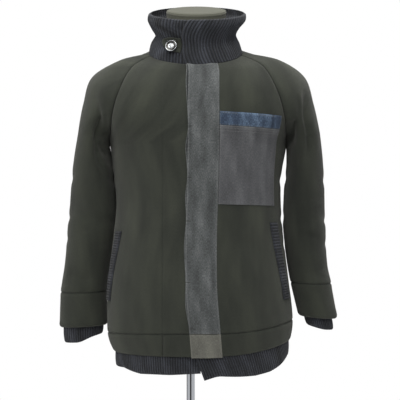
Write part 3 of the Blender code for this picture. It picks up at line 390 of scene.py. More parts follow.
fineFolds = [
    ("front", ((-0.2152, 1.150), (-0.2102, 1.104), (-0.2175, 1.070), (-0.2152, 1.040), (-0.2004, 1.002)),
     0.0042, 0.0060),
    ("front", ((-0.2004, 1.066), (-0.1910, 1.045), (-0.1830, 1.018)), 0.0030, 0.0055),
    ("front", ((-0.2074, 1.0763), (-0.1880, 1.0815)), -0.0030, 0.0065),
    ("front", ((-0.2050, 1.135), (-0.1990, 1.100), (-0.1985, 1.085)), -0.0016, 0.0055),
    ("front", ((0.2160, 1.175), (0.2221, 1.1415), (0.2240, 1.1148), (0.2259, 1.1028), (0.2298, 1.0854),
               (0.2268, 1.0564),
               (0.2200, 1.020)), -0.0034, 0.0045),
    ("front", ((0.2290, 1.190), (0.2330, 1.150), (0.2350, 1.110), (0.2400, 1.080), (0.2390, 1.040)),
     0.0040, 0.0075),
    ("front", ((0.2105, 1.121), (0.2030, 1.103), (0.1965, 1.072)), 0.0040, 0.0045),
    ("front", ((0.1901, 1.117), (0.2010, 1.125), (0.2110, 1.128)), -0.0018, 0.0055),
    ("front", ((-0.2800, 0.952), (-0.2450, 0.938)), 0.0016, 0.0080),
    ("front", ((-0.2620, 0.880), (-0.2300, 0.888)), 0.0014, 0.0070),
    ("front", ((-0.3000, 0.766), (-0.2600, 0.757)), 0.0012, 0.0055),
    ("front", ((0.2740, 0.958), (0.2450, 0.949)), 0.0015, 0.0080),
    ("front", ((0.2640, 0.868), (0.2280, 0.876)), 0.0014, 0.0070),
    ("front", ((0.2900, 0.778), (0.2600, 0.782)), 0.0013, 0.0050),
    ("front", ((0.3000, 0.716), (0.2860, 0.729)), 0.0020, 0.0050),
    ("front", ((0.3050, 0.698), (0.2950, 0.716)), -0.0018, 0.0050),
    ("front", ((-0.1500, 0.792), (-0.1200, 0.745), (-0.1050, 0.700)), 0.0012, 0.0120),
    ("front", ((0.0900, 0.870), (0.1200, 0.840), (0.1330, 0.800)), 0.0010, 0.0120),
    ("front", ((0.1480, 0.712), (0.1800, 0.735), (0.1950, 0.765)), 0.0014, 0.0090),
    ("front", ((-0.1150, 1.190), (-0.1450, 1.130), (-0.1550, 1.070)), 0.0009, 0.0120),
    ("front", ((-0.0420, 1.180), (-0.0440, 1.000), (-0.0460, 0.860)), 0.0005, 0.0040),
    ("back", ((-0.1500, 1.135), (-0.1200, 1.060), (-0.1050, 0.990)), 0.0028, 0.0110),
    ("back", ((0.1560, 1.120), (0.1320, 1.050), (0.1240, 0.960)), 0.0024, 0.0120),
    ("back", ((-0.1100, 0.950), (-0.0500, 0.925), (0.0200, 0.932)), 0.0022, 0.0110),
    ("back", ((0.1100, 0.905), (0.0500, 0.890), (-0.0150, 0.899)), 0.0018, 0.0100),
    ("back", ((-0.0500, 1.262), (0.0000, 1.252), (0.0480, 1.264)), 0.0018, 0.0090),
    ("back", ((-0.1350, 0.740), (-0.1200, 0.700), (-0.1250, 0.660)), 0.0014, 0.0100),
    ("back", ((-0.2700, 0.948), (-0.2150, 0.925)), 0.0030, 0.0080),
    ("back", ((-0.2640, 0.905), (-0.2200, 0.898)), 0.0024, 0.0070),
    ("back", ((0.2680, 0.955), (0.2150, 0.936)), 0.0028, 0.0080),
    ("back", ((0.2600, 0.900), (0.2180, 0.909)), 0.0022, 0.0070),
    ("back", ((-0.2380, 1.115), (-0.2240, 1.050), (-0.2260, 1.000)), 0.0026, 0.0080),
    ("back", ((0.2400, 1.105), (0.2270, 1.060), (0.2290, 1.010)), 0.0024, 0.0080),
    ("right", ((-0.0250, 1.010), (0.0250, 0.992), (0.0600, 1.000)), 0.0018, 0.0090),
    ("right", ((0.0100, 0.915), (0.0600, 0.902), (0.0900, 0.910)), 0.0022, 0.0085),
    ("right", ((0.0200, 0.860), (0.0700, 0.868)), 0.0014, 0.0080),
    ("left", ((-0.0300, 1.000), (0.0150, 0.985), (0.0550, 0.994)), 0.0018, 0.0090),
    ("left", ((-0.0200, 0.912), (0.0250, 0.896), (0.0600, 0.905)), 0.0022, 0.0085),
    ("left", ((-0.0150, 0.850), (0.0400, 0.858)), 0.0014, 0.0080),
]
facings = {"front": (0, (0, -1, 0)), "back": (0, (0, 1, 0)), "right": (1, (-1, 0, 0)),
           "left": (1, (1, 0, 0))}


def foldDepth(points, normals):
    # how far the cloth is pressed in at each point
    depth = np.zeros(points.shape[:-1])
    for view, line, deep, width in mainFolds + fineFolds:
        across, towards = facings[view]
        line = np.array(line)
        flat = points[..., [across, 2]]
        reach = 3.2 * width
        near = ((flat > line.min(axis=0) - reach) & (flat < line.max(axis=0) + reach)).all(axis=-1)
        if not near.any():
            continue
        spots = flat[near]
        far = lengths(np.column_stack([line, np.zeros(len(line))]))
        best, share = np.full(len(spots), 9.0), np.zeros(len(spots))
        for k in range(len(line) - 1):
            run = line[k + 1] - line[k]
            t = np.clip(((spots - line[k]) @ run) / (run @ run), 0, 1)
            off = np.linalg.norm(spots - line[k] - t[:, None] * run, axis=-1)
            closer = off < best
            best[closer] = off[closer]
            share[closer] = (far[k] + t * (far[k + 1] - far[k]))[closer] / far[-1]
        shape = np.exp(-((best / width) ** 2))
        if abs(deep) < 0.0045:  # the cloth swells a little either side of a crease
            shape -= 0.22 * np.exp(-(((best - 1.9 * width) / width) ** 2))
            fade = ease(0.25 + 4 * share) * ease(0.25 + 4 * (1 - share))
        else:
            fade = ease((0.68 - np.abs(share - 0.5)) / 0.36)
        depth[near] += deep * shape * fade * ease((normals[near] @ np.array(towards) + 0.15) / 0.65)
    return depth


def drape(points, lift=0.0008):
    # slow unevenness of hanging cloth, the same for every piece that lies on it
    flat = points.reshape(-1, 3) * (11, 11, 6.5)
    swell = np.array([noise.noise(Vector(p)) for p in flat])
    return lift * (0.5 + swell.reshape(points.shape[:-1]))


def spread(count, pinch=0.8):
    # shares from 0 to 1, closer together near both ends, where seams are
    t = np.linspace(0, 1, count + 1)
    return t - pinch * np.sin(2 * math.pi * t) / (2 * math.pi)


def levelSteps(heights, first, last, spacing=0.0045):
    steps = [np.linspace(k, k + 1, max(3, round(heights[k] / spacing)) + 1)[:-1] for k in range(first, last)]
    return np.concatenate(steps + [[last]])


def borderFar(grid, edges="lrbt"):
    # distance of each point from the nearest of these edges of its grid
    across = np.concatenate([np.zeros_like(grid[:, :1, 0]),
                             np.cumsum(np.linalg.norm(np.diff(grid, axis=1), axis=-1), axis=1)], axis=1)
    up = np.concatenate([np.zeros_like(grid[:1, :, 0]),
                         np.cumsum(np.linalg.norm(np.diff(grid, axis=0), axis=-1), axis=0)], axis=0)
    choices = {"l": across, "r": across[:, -1:] - across, "b": up, "t": up[-1:] - up}
    return np.min([choices[edge] for edge in edges], axis=0), across, up


def drawnIn(grid, amount):
    grid = grid.copy()
    for edge, beside in ((0, 1), (-1, -2)):
        for lines in (grid, grid.transpose(1, 0, 2)):
            step = lines[beside] - lines[edge]
            lines[edge] += step / np.linalg.norm(step, axis=-1, keepdims=True) * amount
    return grid


def meshOf(name, points, quads, marks, uvs=None):
    mesh = bpy.data.meshes.new(name)
    mesh.vertices.add(len(points))
    mesh.vertices.foreach_set("co", np.asarray(points, np.float32).ravel())
    mesh.loops.add(quads.size)
    mesh.loops.foreach_set("vertex_index", quads.ravel().astype(np.int32))
    mesh.polygons.add(len(quads))
    mesh.polygons.foreach_set("loop_start", np.arange(0, quads.size, 4, dtype=np.int32))
    mesh.update(calc_edges=True)
    if uvs is not None:
        layer = mesh.uv_layers.new(name="cloth")
        layer.data.foreach_set("uv", np.asarray(uvs, np.float32)[quads.ravel()].ravel())
    for key, values in marks.items():
        mesh.attributes.new(key, "FLOAT", "POINT").data.foreach_set("value",
                                                                    np.asarray(values, np.float32).ravel())
    mesh.shade_smooth()
    return mesh


def place(name, mesh, finish, slot, replaced=()):
    made = bpy.data.objects.new(name, mesh)
    mesh.materials.clear()
    mesh.materials.append(finishes[finish])
    bpy.context.scene.collection.objects.link(made)
    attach(made, "root")
    if replaced:
        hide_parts(*replaced)
    return made


clothAreas = {}


def sewCloth(name, outer, inner, plan, ring=False, marks=None, far=None):
    # a closed cloth wall between two grids of the same size, moved to the form's place
    rows, columns = outer.shape[:2]
    count = rows * columns
    index = np.arange(count).reshape(rows, columns)
    if ring:
        index = np.concatenate([index, index[:, :1]], axis=1)
    a, b, c, d = index[:-1, :-1], index[:-1, 1:], index[1:, 1:], index[1:, :-1]
    faces = [np.stack([a, b, c, d], -1).reshape(-1, 4), np.stack([d, c, b, a], -1).reshape(-1, 4) + count]
    low, high = index[0], index[-1]
    faces.append(np.stack([low[:-1], low[:-1] + count, low[1:] + count, low[1:]], -1))
    faces.append(np.stack([high[:-1], high[1:], high[1:] + count, high[:-1] + count], -1))
    if not ring:
        left, right = index[:, 0], index[:, -1]
        faces.append(np.stack([left[:-1], left[1:], left[1:] + count, left[:-1] + count], -1))
        faces.append(np.stack([right[:-1], right[:-1] + count, right[1:] + count, right[1:]], -1))
    near, across, up = borderFar(outer) if far is None else far
    uvs = np.stack([across, up], -1).reshape(-1, 2)
    given = {"wear": np.exp(-((near / 0.0035) ** 2)), "rib": np.zeros((rows, columns)),
             "shade": np.zeros((rows, columns))}
    given.update(marks or {})
    given = {key: np.concatenate([values.ravel(), values.ravel()]) for key, values in given.items()}
    points = np.concatenate([outer.reshape(-1, 3), inner.reshape(-1, 3)]) + (formX, 0, 0)
    mesh = meshOf(name, points, np.concatenate(faces), given, np.concatenate([uvs, uvs]))
    made = place(name, mesh, plan["finish"], plan["slot"], plan["replaces"])
    clothAreas[name] = sum(face.area for face in mesh.polygons) / 2
    return made


# The shell: fronts, back, hem bands, sleeves and sleeve bands are one surface cut along its seams.
shell = dict(
    cloth=0.0020,
    facingSeam=-0.074,
    underlap=0.018,
    leftEdge=0.0265,
    drift=(0.0189, 0.0150, 0.0075, 0.0070, 0.0090, 0.0105, 0.0117, 0.0120, 0.0124, 0.0127, 0.0127),
    seamDip=0.0013,
    seamSwell=0.0005,
)


def drift(level):
    return float(between(shell["drift"], level))


def sideToFacing(level):
    far = rowLength(-1, level, -1)
    return -far + (far + shell["facingSeam"]) * spread(34)


def facingToEdge(level):
    return shell["facingSeam"] + (drift(level) + shell["underlap"] - shell["facingSeam"]) * spread(24)


def rightColumns(level):
    return np.concatenate([sideToFacing(level), facingToEdge(level)[1:]])


def leftColumns(level):
    start = drift(level) + shell["leftEdge"]
    return start + (rowLength(-1, level, 1) - start) * spread(52)


def backColumns(level):
    left, right = rowLength(1, level, 1), rowLength(1, level, -1)
    share = spread(110)
    return left - (left + right) * share


heights = np.max([np.abs(np.diff(bodyShape[face][:, 1])) for face in (-1, 1)], axis=0)
sleeveHeights = np.max([np.abs(np.diff(sleeveShape[side][:, 1])) for side in (-1, 1)], axis=0)
nearSeam = np.array((0.008, 0.022, 0.04))
upperLevels = np.sort(np.concatenate([levelSteps(heights, underarm, neckline), neckline - nearSeam]))
bodyLevels = np.sort(np.concatenate([levelSteps(heights, 1, underarm)[:-1], 1 + nearSeam, upperLevels]))
sleeveLevels = np.sort(np.concatenate([levelSteps(sleeveHeights, 1, underarm)[:-1], 1 + nearSeam,
                                       upperLevels]))
bandLevels = spread(14, 0.85)
roundSleeve = spread(84, 0.7)


def bodyPanel(face, levels, columns):
    return np.array([bodyRow(face, w, columns(w)) for w in levels])


patches = {
    "frontRight": bodyPanel(-1, bodyLevels, rightColumns),
    "frontLeft": bodyPanel(-1, bodyLevels, leftColumns),
    "back": bodyPanel(1, bodyLevels, backColumns),
    "hemBandFrontRight": bodyPanel(-1, bandLevels, sideToFacing),
    "hemBandFacing": bodyPanel(-1, bandLevels, facingToEdge),
    "hemBandFrontLeft": bodyPanel(-1, bandLevels, leftColumns),
    "hemBandBack": bodyPanel(1, bandLevels, backColumns),
}
for side, word in ((-1, "Right"), (1, "Left")):
    patches["sleeve" + word] = np.array([sleeveRow(side, w, roundSleeve[::side]) for w in sleeveLevels])
    patches["sleeveBand" + word] = np.array([sleeveRow(side, w, roundSleeve[::side]) for w in bandLevels])


def sharedNormals(grids):
    # normals averaged where patches share a point, so that the cloth runs on smoothly over its seams
    points = np.concatenate([grid.reshape(-1, 3) for grid in grids.values()])
    normals = np.concatenate([gridNormals(grid).reshape(-1, 3) for grid in grids.values()])
    _, where = np.unique(np.round(points * 1e5).astype(np.int64), axis=0, return_inverse=True)
    total = np.zeros((where.max() + 1, 3))
    np.add.at(total, where.ravel(), normals)
    total = total[where.ravel()]
    total /= np.linalg.norm(total, axis=-1, keepdims=True)
    ends = np.cumsum([grid.shape[0] * grid.shape[1] for grid in grids.values()])[:-1]
    return {name: part.reshape(grid.shape) for (name, grid),
            part in zip(grids.items(), np.split(total, ends))}


def settled(grid, normals):
    return grid + normals * (drape(grid) - foldDepth(grid, normals))[..., None]


normals = sharedNormals(patches)
patches = {name: settled(grid, normals[name]) for name, grid in patches.items()}
normals = sharedNormals(patches)

shellCuts = {
    # piece: the node it replaces, what it hangs from, and its cut in metres with the area where that isn't
    # a rectangle
    "frontRight": ("front_right", "form_torso", (0.30, 0.72), 0.156),
    "frontLeft": ("front_left", "form_torso", (0.24, 0.69), 0.117),
    "back": ("back", "form_torso", (0.55, 0.74), 0.293),
    "hemBandFrontRight": ("hem_band_front_right", "form_torso", (0.19, 0.05), None),
    "hemBandFacing": ("hem_band_facing", "form_torso", (0.11, 0.05), None),
    "hemBandFrontLeft": ("hem_band_front_left", "form_torso", (0.235, 0.05), None),
    "hemBandBack": ("hem_band_back", "form_torso", (0.545, 0.05), None),
    "sleeveRight": ("sleeve_right", "form_torso", (0.365, 0.66), 0.179),
    "sleeveLeft": ("sleeve_left", "form_torso", (0.36, 0.635), 0.168),
    "sleeveBandRight": ("sleeve_band_right", "form_torso", (0.31, 0.078), None),
    "sleeveBandLeft": ("sleeve_band_left", "form_torso", (0.28, 0.079), None),
}
seamed = {}  # the finished outer surface of each piece, which its stitches follow
for name, grid in patches.items():
    outer = drawnIn(grid, seamGap / 2)
    far = borderFar(outer)
    dip = (shell["seamDip"] * np.exp(-((far[0] / 0.0017) ** 2))
           - shell["seamSwell"] * np.exp(-(((far[0] - 0.007) / 0.005) ** 2)))
    surface = outer - normals[name] * dip[..., None]
    # painted shade along every seam and edge of the shell, darkest on the seam line
    shade = -0.42 * np.exp(-((far[0] / 0.0011) ** 2))
    # painted shade on the right front and its hem band, deeper towards the fly
    if name in ("frontRight", "hemBandFrontRight"):
        shade = shade - 0.14 * ease((outer[..., 0] + 0.034) / 0.022)
    if name == "sleeveLeft":  # painted shade on its front around mid height, where it hangs beside the body
        shade = shade - 0.24 * np.exp(-(((outer[..., 2] - 0.97) / 0.15) ** 2)) * ease(-outer[..., 1] / 0.03)
    if name == "frontRight":  # the facing is caught down inside along this line
        beside = far[1] - far[1][:, 34:35]
        line = np.exp(-((beside / 0.0013) ** 2)) * ease((1.20 - outer[..., 2]) / 0.25)
        surface = surface - normals[name] * (0.0006 * line)[..., None]
        # painted shade along the facing's groove
        shade = shade - 0.16 * line
    seamed[name] = (surface, normals[name])
    node, hangs, flat, area = shellCuts[name]
    sewCloth("backPanel" if name == "back" else name, surface, outer - normals[name] * shell["cloth"],
             dict(finish="doubleKnitCotton", slot="body_knit", replaces=[node], flat=flat, area=area,
                  held="hung", restsOn=[hangs]), far=far, marks={"shade": shade})
print("shell sewn")


# The fly: an under layer whose free edge bows out between bar tacks, the strip over it, and a patch at the
# hem.
fly = dict(width=0.065, peek=0.0046, tacks=(1.15, 2.15, 3.45, 4.90, 6.70), strip=0.0015, stands=0.0022,
           lift=0.0022)


def bowed(level):
    tacks = (-0.2, *fly["tacks"], 10.4)
    below = max(t for t in tacks if t <= level)
    above = min(t for t in tacks if t > level)
    return math.sin(math.pi * (level - below) / (above - below)) ** 2 * (0.65 + 0.55
                                                                         * float(ease((level - 4.9) / 1.5)))


def onFront(levels, columns):
    grid = np.array([bodyRow(-1, w, columns(w)) for w in levels])
    grid = settled(grid, gridNormals(grid))
    return grid, gridNormals(grid)


half = fly["width"] / 2
flyLevels = np.concatenate([[1.004, 1.012, 1.03], np.linspace(1.06, 9.55, 190), [9.58, 9.605, 9.62]])
grid, out = onFront(flyLevels, lambda w: drift(w) - half - fly["peek"] * bowed(w)
                    + (0.0188 + half + fly["peek"] * bowed(w)) * spread(14))
far = borderFar(grid, "lr")
edge = 0.0006 * np.exp(-((far[0] / 0.0007) ** 2)) - 0.0007 * np.exp(-(((far[1] - 0.0011) / 0.0007) ** 2))
# painted shadow over the under layer where the strip overhangs it; only its free edge stays light
sewCloth("placketUnder", grid + out * (layGap + 0.0013 - edge)[..., None], grid + out * layGap,
         dict(finish="washedGreyTwill", slot="grey_cotton", replaces=["placket_under"], flat=(0.055, 0.57),
              held="hung", restsOn=["front_right"]), far=far,
         marks={"shade": -0.55 * ease((far[1] - 0.0014) / 0.0008)})


def flyStrip(name, levels, stands, lift, plan):
    share = spread(30)
    grid, out = onFront(levels, lambda w: drift(w) - half + 2 * half * share)
    under = stands - (stands - layGap) * ease((share - 0.80) / 0.20)
    up = np.array([lift * bowed(w) for w in levels])[:, None] * ease((0.30 - share) / 0.30)[None]
    inner = grid + out * (under[None] + up)[..., None]
    far = borderFar(grid)
    dip = 0.0007 * np.exp(-((far[0] / 0.0012) ** 2)) - 0.0003 * np.exp(-(((far[0] - 0.004) / 0.002) ** 2))
    outer = inner + out * (fly["strip"] - dip)[..., None]
    # painted shade in a line just in from the strip's lifted free edge
    shade = -0.10 * np.exp(-(((far[1] - 0.0045) / 0.0016) ** 2))
    sewCloth(name, outer, inner, plan, far=far, marks={"shade": shade})
    return outer, out


placketTop = flyStrip("placketStrip", flyLevels, fly["stands"], fly["lift"],
                      dict(finish="washedGreyTwill", slot="grey_cotton", replaces=["placket"],
                           flat=(0.066, 0.58),
                           held="hung", restsOn=["front_left", "front_right"]))
patchTop = flyStrip("placketPatch", np.concatenate([[-0.06, -0.03], np.linspace(0.02, 0.96, 20),
                                                    [0.985, 0.996]]), 0.0006, 0.0,
                    dict(finish="hemPatchTwill", slot="grey_cotton", replaces=["placket_patch"],
                         flat=(0.066, 0.052),
                         held="hung", restsOn=["hem_band_front_left", "hem_band_facing"]))

# The chest pocket and the band of denim across its mouth: height at the fly, and how far the line drops to
# the side.
pocket = dict(side=0.182, bottom=(0.941, 0.0036), mouth=(1.1062, 0.0056), lip=(1.1067, 0.0056),
              top=(1.1350, 0.0078))


levelTable = np.linspace(0, 8, 321)
heightTable = [between(bodyShape[-1][:, 1:2], w)[0] for w in levelTable]


def frontLevel(z):
    return float(np.interp(z, heightTable, levelTable))


def pocketPatch(name, low, high, rows, thick, plan, raised=0.0, blocks=()):
    grid = []
    across = spread(64)
    for share in spread(rows):
        line = []
        for k in across:
            z = (low[0] - low[1] * k) + ((high[0] - high[1] * k) - (low[0] - low[1] * k)) * share
            w = frontLevel(z)
            start = drift(w) + half + 0.0008
            line.append(bodyRow(-1, w, [start + k * (pocket["side"] - start)])[0])
        grid.append(line)
    grid = np.array(grid)
    grid = settled(grid, gridNormals(grid))
    out = gridNormals(grid)
    far = borderFar(grid)
    dip = 0.0007 * np.exp(-((far[0] / 0.0012) ** 2)) - 0.0003 * np.exp(-(((far[0] - 0.005) / 0.003) ** 2))
    hem = raised * ease((0.0135 - (far[2][-1:] - far[2])) / 0.0015)
    outer = grid + out * (layGap + thick - dip + hem)[..., None]
    shade = np.zeros(far[1].shape)
    for start, stop, tone in blocks:
        shade += tone * ease((far[1] - start) / 0.0012) * ease((stop - far[1]) / 0.0012)
    sewCloth(name, outer, grid + out * layGap, plan, far=far, marks={"shade": shade})
    return outer, out


pocketTop = pocketPatch("chestPocket", pocket["bottom"], pocket["mouth"], 70, fly["strip"],
                        dict(finish="washedGreyPlainWeave", slot="grey_cotton", replaces=["chest_pocket"],
                             flat=(0.14, 0.167), held="hung", restsOn=["front_left"]), raised=0.0005)
denimTop = pocketPatch("pocketDenim", pocket["lip"], pocket["top"], 20, fly["strip"] + 0.0003,
                       dict(finish="fadedIndigoDenim", slot="denim", replaces=["pocket_denim"],
                            flat=(0.14, 0.03),
                            held="hung", restsOn=["front_left"]),
                       blocks=((-0.01, 0.0385, -0.06), (0.0385, 0.0400, -0.40), (0.0400, 0.1120, 0.10),
                               (0.1120, 0.1190, -0.38), (0.1190, 0.15, -0.16)))
print("fly and pocket sewn")

# Rib knit: round ribs with narrow valleys between them.
def ribCrest(phase):
    return np.abs(np.sin(math.pi * phase)) ** 0.62


collar = dict(
    # half width and depth, centre, side height, back rise
    rings=((0.1015, 0.0900, -0.0050, -0.0110, 1.2720, 0.0365),
           (0.0962, 0.0865, -0.0060, -0.0110, 1.2920, 0.0350),
           (0.0878, 0.0810, -0.0055, -0.0115, 1.3110, 0.0335),
           (0.0950, 0.0860, -0.0060, -0.0120, 1.3270, 0.0320),
           (0.1060, 0.0945, -0.0030, -0.0125, 1.3440, 0.0305),
           (0.1050, 0.0955, -0.0015, -0.0130, 1.3590, 0.0295)),
    cloth=0.0044, rise=0.0016, ribs=94, underEnd=376, lap=0.0065, pointsPerRib=8, rows=46,
)
collarShares = spread(collar["rows"], 0.35)


def collarEdge(share):
    return -18.5 + 32 * (share - 0.45) ** 2


def collarGrid(shares, degreesAt, inset=None, ribbed=None):
    rows = []
    for k, share in enumerate(shares):
        here = degreesAt(share)
        points = neckRing(between(collar["rings"], share * 5), here)
        out = np.stack([np.sin(np.radians(here)), -np.cos(np.radians(here))], axis=-1)
        away = -collar["lap"] * ease((here - 312) / 26)
        if ribbed is not None:
            away = away + ribbed
        if inset is not None:
            away = away - inset[k]
        points[:, :2] += out * away[:, None]
        rows.append(points)
    return np.array(rows)


turns = np.linspace(0, 1, collar["ribs"] * collar["pointsPerRib"] + 1)
crest = ribCrest(turns * collar["ribs"])
rimRound = 0.0034 * ease((collarShares - 0.93) / 0.07) ** 2 + 0.0008 * ease((0.02 - collarShares) / 0.02)


def collarDegrees(share):
    start = collarEdge(share)
    wander = 0.35 * np.sin(turns * 41 + 5 * share) + 0.25 * np.sin(turns * 97 - 9 * share)
    return (start + (collar["underEnd"] - start) * turns
            + wander * ease(turns / 0.02) * ease((1 - turns) / 0.02))


outer = collarGrid(collarShares, collarDegrees, inset=rimRound, ribbed=collar["rise"] * (crest - 0.25))
# the tall collar buckles softly where it folds over at its waist
angle = np.arctan2(outer[..., 0], -outer[..., 1])
buckle = sum(a * np.exp(-(((angle - c) / w) ** 2)) * np.exp(-(((collarShares[:, None] - h) / t) ** 2))
             for a, c, w, h, t in ((-0.0022, -0.62, 0.16, 0.50, 0.14), (0.0016, 0.42, 0.20, 0.62, 0.16),
                                   (-0.0020, 0.95, 0.24, 0.42, 0.13), (-0.0024, 2.30, 0.30, 0.46, 0.15),
                                   (0.0015, 2.95, 0.30, 0.60, 0.18), (-0.0022, -2.35, 0.28, 0.44, 0.15),
                                   (-0.0015, -1.45, 0.22, 0.36, 0.12)))
away = np.stack([np.sin(angle), -np.cos(angle), 0 * angle], axis=-1)
outer = outer + away * buckle[..., None]
smooth = gridNormals(outer[:, ::collar["pointsPerRib"]])
smooth = np.stack([np.stack([np.interp(turns, turns[::collar["pointsPerRib"]],
                                       smooth[r, :, k]) for k in range(3)], -1)
                   for r in range(len(smooth))])
thick = collar["cloth"] - 0.0030 * ease((collarShares - 0.93) / 0.07) ** 2
inner = outer - smooth * thick[:, None, None]
# painted light on the collar's rib crests and painted shade in its valleys
collarRibPaintedLightAndShade = np.broadcast_to(crest - 0.72, outer.shape[:2])
sewCloth("ribCollar", outer, inner,
                       dict(finish="ribKnitCotton", slot="rib_knit", replaces=["collar"],
                            flat=(0.66, 0.10), held="hung",
                            restsOn=["front_left", "front_right", "back"]), marks={"rib": collarRibPaintedLightAndShade})

# The tab that buttons the collar shut, and its button.
tab = dict(low=0.22, high=0.56, start=340, end=309, clear=0.0012 + layGap + 0.0009, cloth=0.0018)


def tabDegrees(share, count=44):
    k = (share - tab["low"]) / (tab["high"] - tab["low"])
    bulge = math.sqrt(max(0.0, 1 - (2 * k - 1) ** 2 * 0.80))
    return tab["start"] + (tab["end"] - tab["start"]) * bulge * (1 - spread(count, 0.5))


tabShares = tab["low"] + (tab["high"] - tab["low"]) * spread(26, 0.7)
grid = collarGrid(tabShares, tabDegrees)
out = gridNormals(grid)
far = borderFar(grid)
dip = 0.0007 * np.exp(-((far[0] / 0.0011) ** 2)) - 0.0003 * np.exp(-(((far[0] - 0.004) / 0.002) ** 2))
inner = grid + out * tab["clear"]
tabTop = (inner + out * (tab["cloth"] - dip)[..., None], out)
sewCloth("collarTab", tabTop[0], inner, dict(finish="doubleKnitCotton", slot="body_knit",
                                             replaces=["collar_tab"],
                                             flat=(0.045, 0.03), held="hung", restsOn=["collar"]), far=far)


def spin(name, profile, origin, axes, finish, slot, replaced=(), steps=72):
    # a turned piece: radius and height pairs spun about the last axis
    across, up, out = (np.array(axis, float) for axis in axes)
    profile = [(max(radius, 0.00002), height) for radius, height in profile]
    angles = np.linspace(0, 2 * math.pi, steps + 1)[:-1]
    rings = [np.array(origin) + out * height + radius * (np.cos(angles)[:, None] * across
                                                         + np.sin(angles)[:, None] * up)
             for radius, height in profile]
    points = np.concatenate(rings)
    index = np.arange(len(points)).reshape(len(profile), steps)
    index = np.concatenate([index, index[:, :1]], axis=1)
    hollow = profile[0] == profile[-1]
    if hollow:
        index[-1] = index[0]
        points = points[:-steps]
    quads = np.stack([index[:-1, :-1], index[:-1, 1:], index[1:, 1:], index[1:, :-1]], -1).reshape(-1, 4)
    closed = [] if hollow else [index[0, :-1][::-1], index[-1, :-1]]
    mesh = bpy.data.meshes.new(name)
    mesh.from_pydata(points.tolist(), [], quads.tolist() + [list(map(int, ring)) for ring in closed])
    mesh.shade_smooth()
    mesh.set_sharp_from_angle(angle=math.radians(42))
    return place(name, mesh, finish, slot, replaced)


def rounded(profile, radius=0.0006, count=4):
    # rounds the corners of a turned profile, apart from its ends
    line = [profile[0]]
    for a, b, c in zip(profile, profile[1:], profile[2:]):
        a, b, c = np.array(a), np.array(b), np.array(c)
        before, after = np.linalg.norm(b - a), np.linalg.norm(c - b)
        cut = min(radius, before * 0.45, after * 0.45)
        p, q = b + (a - b) / before * cut, b + (c - b) / after * cut
        for t in np.linspace(0, 1, count):
            line.append(tuple((1 - t) ** 2 * p + 2 * t * (1 - t) * b + t * t * q))
    return line + [profile[-1]]


button = dict(share=0.31, degrees=326, radius=0.0125)
beside = button["degrees"] + np.array((-6.0, 0.0, 6.0))
spot = collarGrid((button["share"] - 0.08, button["share"], button["share"] + 0.08), lambda share: beside)
centre, out = spot[1, 1], gridNormals(spot)[1, 1]
sideways = np.cross((0, 0, 1), out)
sideways /= np.linalg.norm(sideways)
axes = (sideways, np.cross(out, sideways), out)
near = np.linalg.norm(np.cross(tabTop[0] - centre, out), axis=-1) < button["radius"]
seat = centre + out * (((tabTop[0] - centre) @ out)[near].max() + 0.0004) + (formX, 0, 0)
r = button["radius"]
spin("collarButton", rounded([(0, 0), (r - 0.0020, 0), (r - 0.0003, 0.0010), (r - 0.0003, 0.0028),
                              (r - 0.0014, 0.0034),
                              (r - 0.0026, 0.0030), (0.0082, 0.0021), (0.0060, 0.0020), (0.0050, 0.0031),
                              (0.0028, 0.0040),
                              (0, 0.0042)]), seat, axes, "mouldedButtonResin", "button_black",
                              ["collar_button"])
spin("collarButtonDish", rounded([(0.0056, 0.0024), (0.0062, 0.0030), (0.0058, 0.0036), (0.0046, 0.0033),
                                  (0.0030, 0.0042),
                                  (0, 0.0044)], 0.0004), seat, axes, "castButtonRing", "button_black")
spin("collarButtonRing", rounded([(r - 0.0016, 0.0035), (r - 0.0002, 0.0029), (r, 0.0031),
                                  (r - 0.0001, 0.0038),
                                  (r - 0.0009, 0.0043), (r - 0.0016, 0.0039), (r - 0.0016, 0.0035)], 0.0002),
     seat, axes, "castButtonRing", "button_black")
print("collar and button made")

# Side-pocket welts, ribs across the mouth: top, bottom, and how far in from the side seam at each.
welts = {
    "Right": dict(side=-1, top=0.883, bottom=0.735, insetTop=0.067, insetBottom=0.047, length=0.150),
    "Left": dict(side=1, top=0.902, bottom=0.728, insetTop=0.082, insetBottom=0.064, length=0.176),
}
weltWidth, weltRibs = 0.028, 27
weltRows = np.linspace(0, 1, weltRibs * 9 + 1)
for word, plan in welts.items():
    side = plan["side"]
    grid = []
    for up in weltRows:
        w = frontLevel(plan["bottom"] + (plan["top"] - plan["bottom"]) * up)
        inset = plan["insetBottom"] + (plan["insetTop"] - plan["insetBottom"]) * up
        edge = rowLength(-1, w, side) - inset
        grid.append(bodyRow(-1, w, side * (edge + spread(18)[::side] * weltWidth)))
    grid = np.array(grid)
    grid = settled(grid, gridNormals(grid))
    out = gridNormals(grid)
    far = borderFar(grid)
    crest = np.broadcast_to(ribCrest(weltRows * weltRibs)[:, None], far[0].shape)
    height = (layGap + 0.0022 + 0.0015 * crest * ease(far[0] / 0.003)
              - 0.0010 * np.exp(-((far[0] / 0.0016) ** 2)))
    # the rib mark paints light on the welt's rib crests and shade in its valleys
    sewCloth("pocketWelt" + word, grid + out * height[..., None], grid + out * layGap,
             dict(finish="ribKnitCotton", slot="rib_knit", replaces=["pocket_welt_" + word.lower()],
                  flat=(weltWidth, plan["length"]),
                  held="hung", restsOn=["front_" + word.lower()]), far=(far[0], far[2], far[1]),
             marks={"rib": crest - 0.72, "wear": 0 * far[0]})

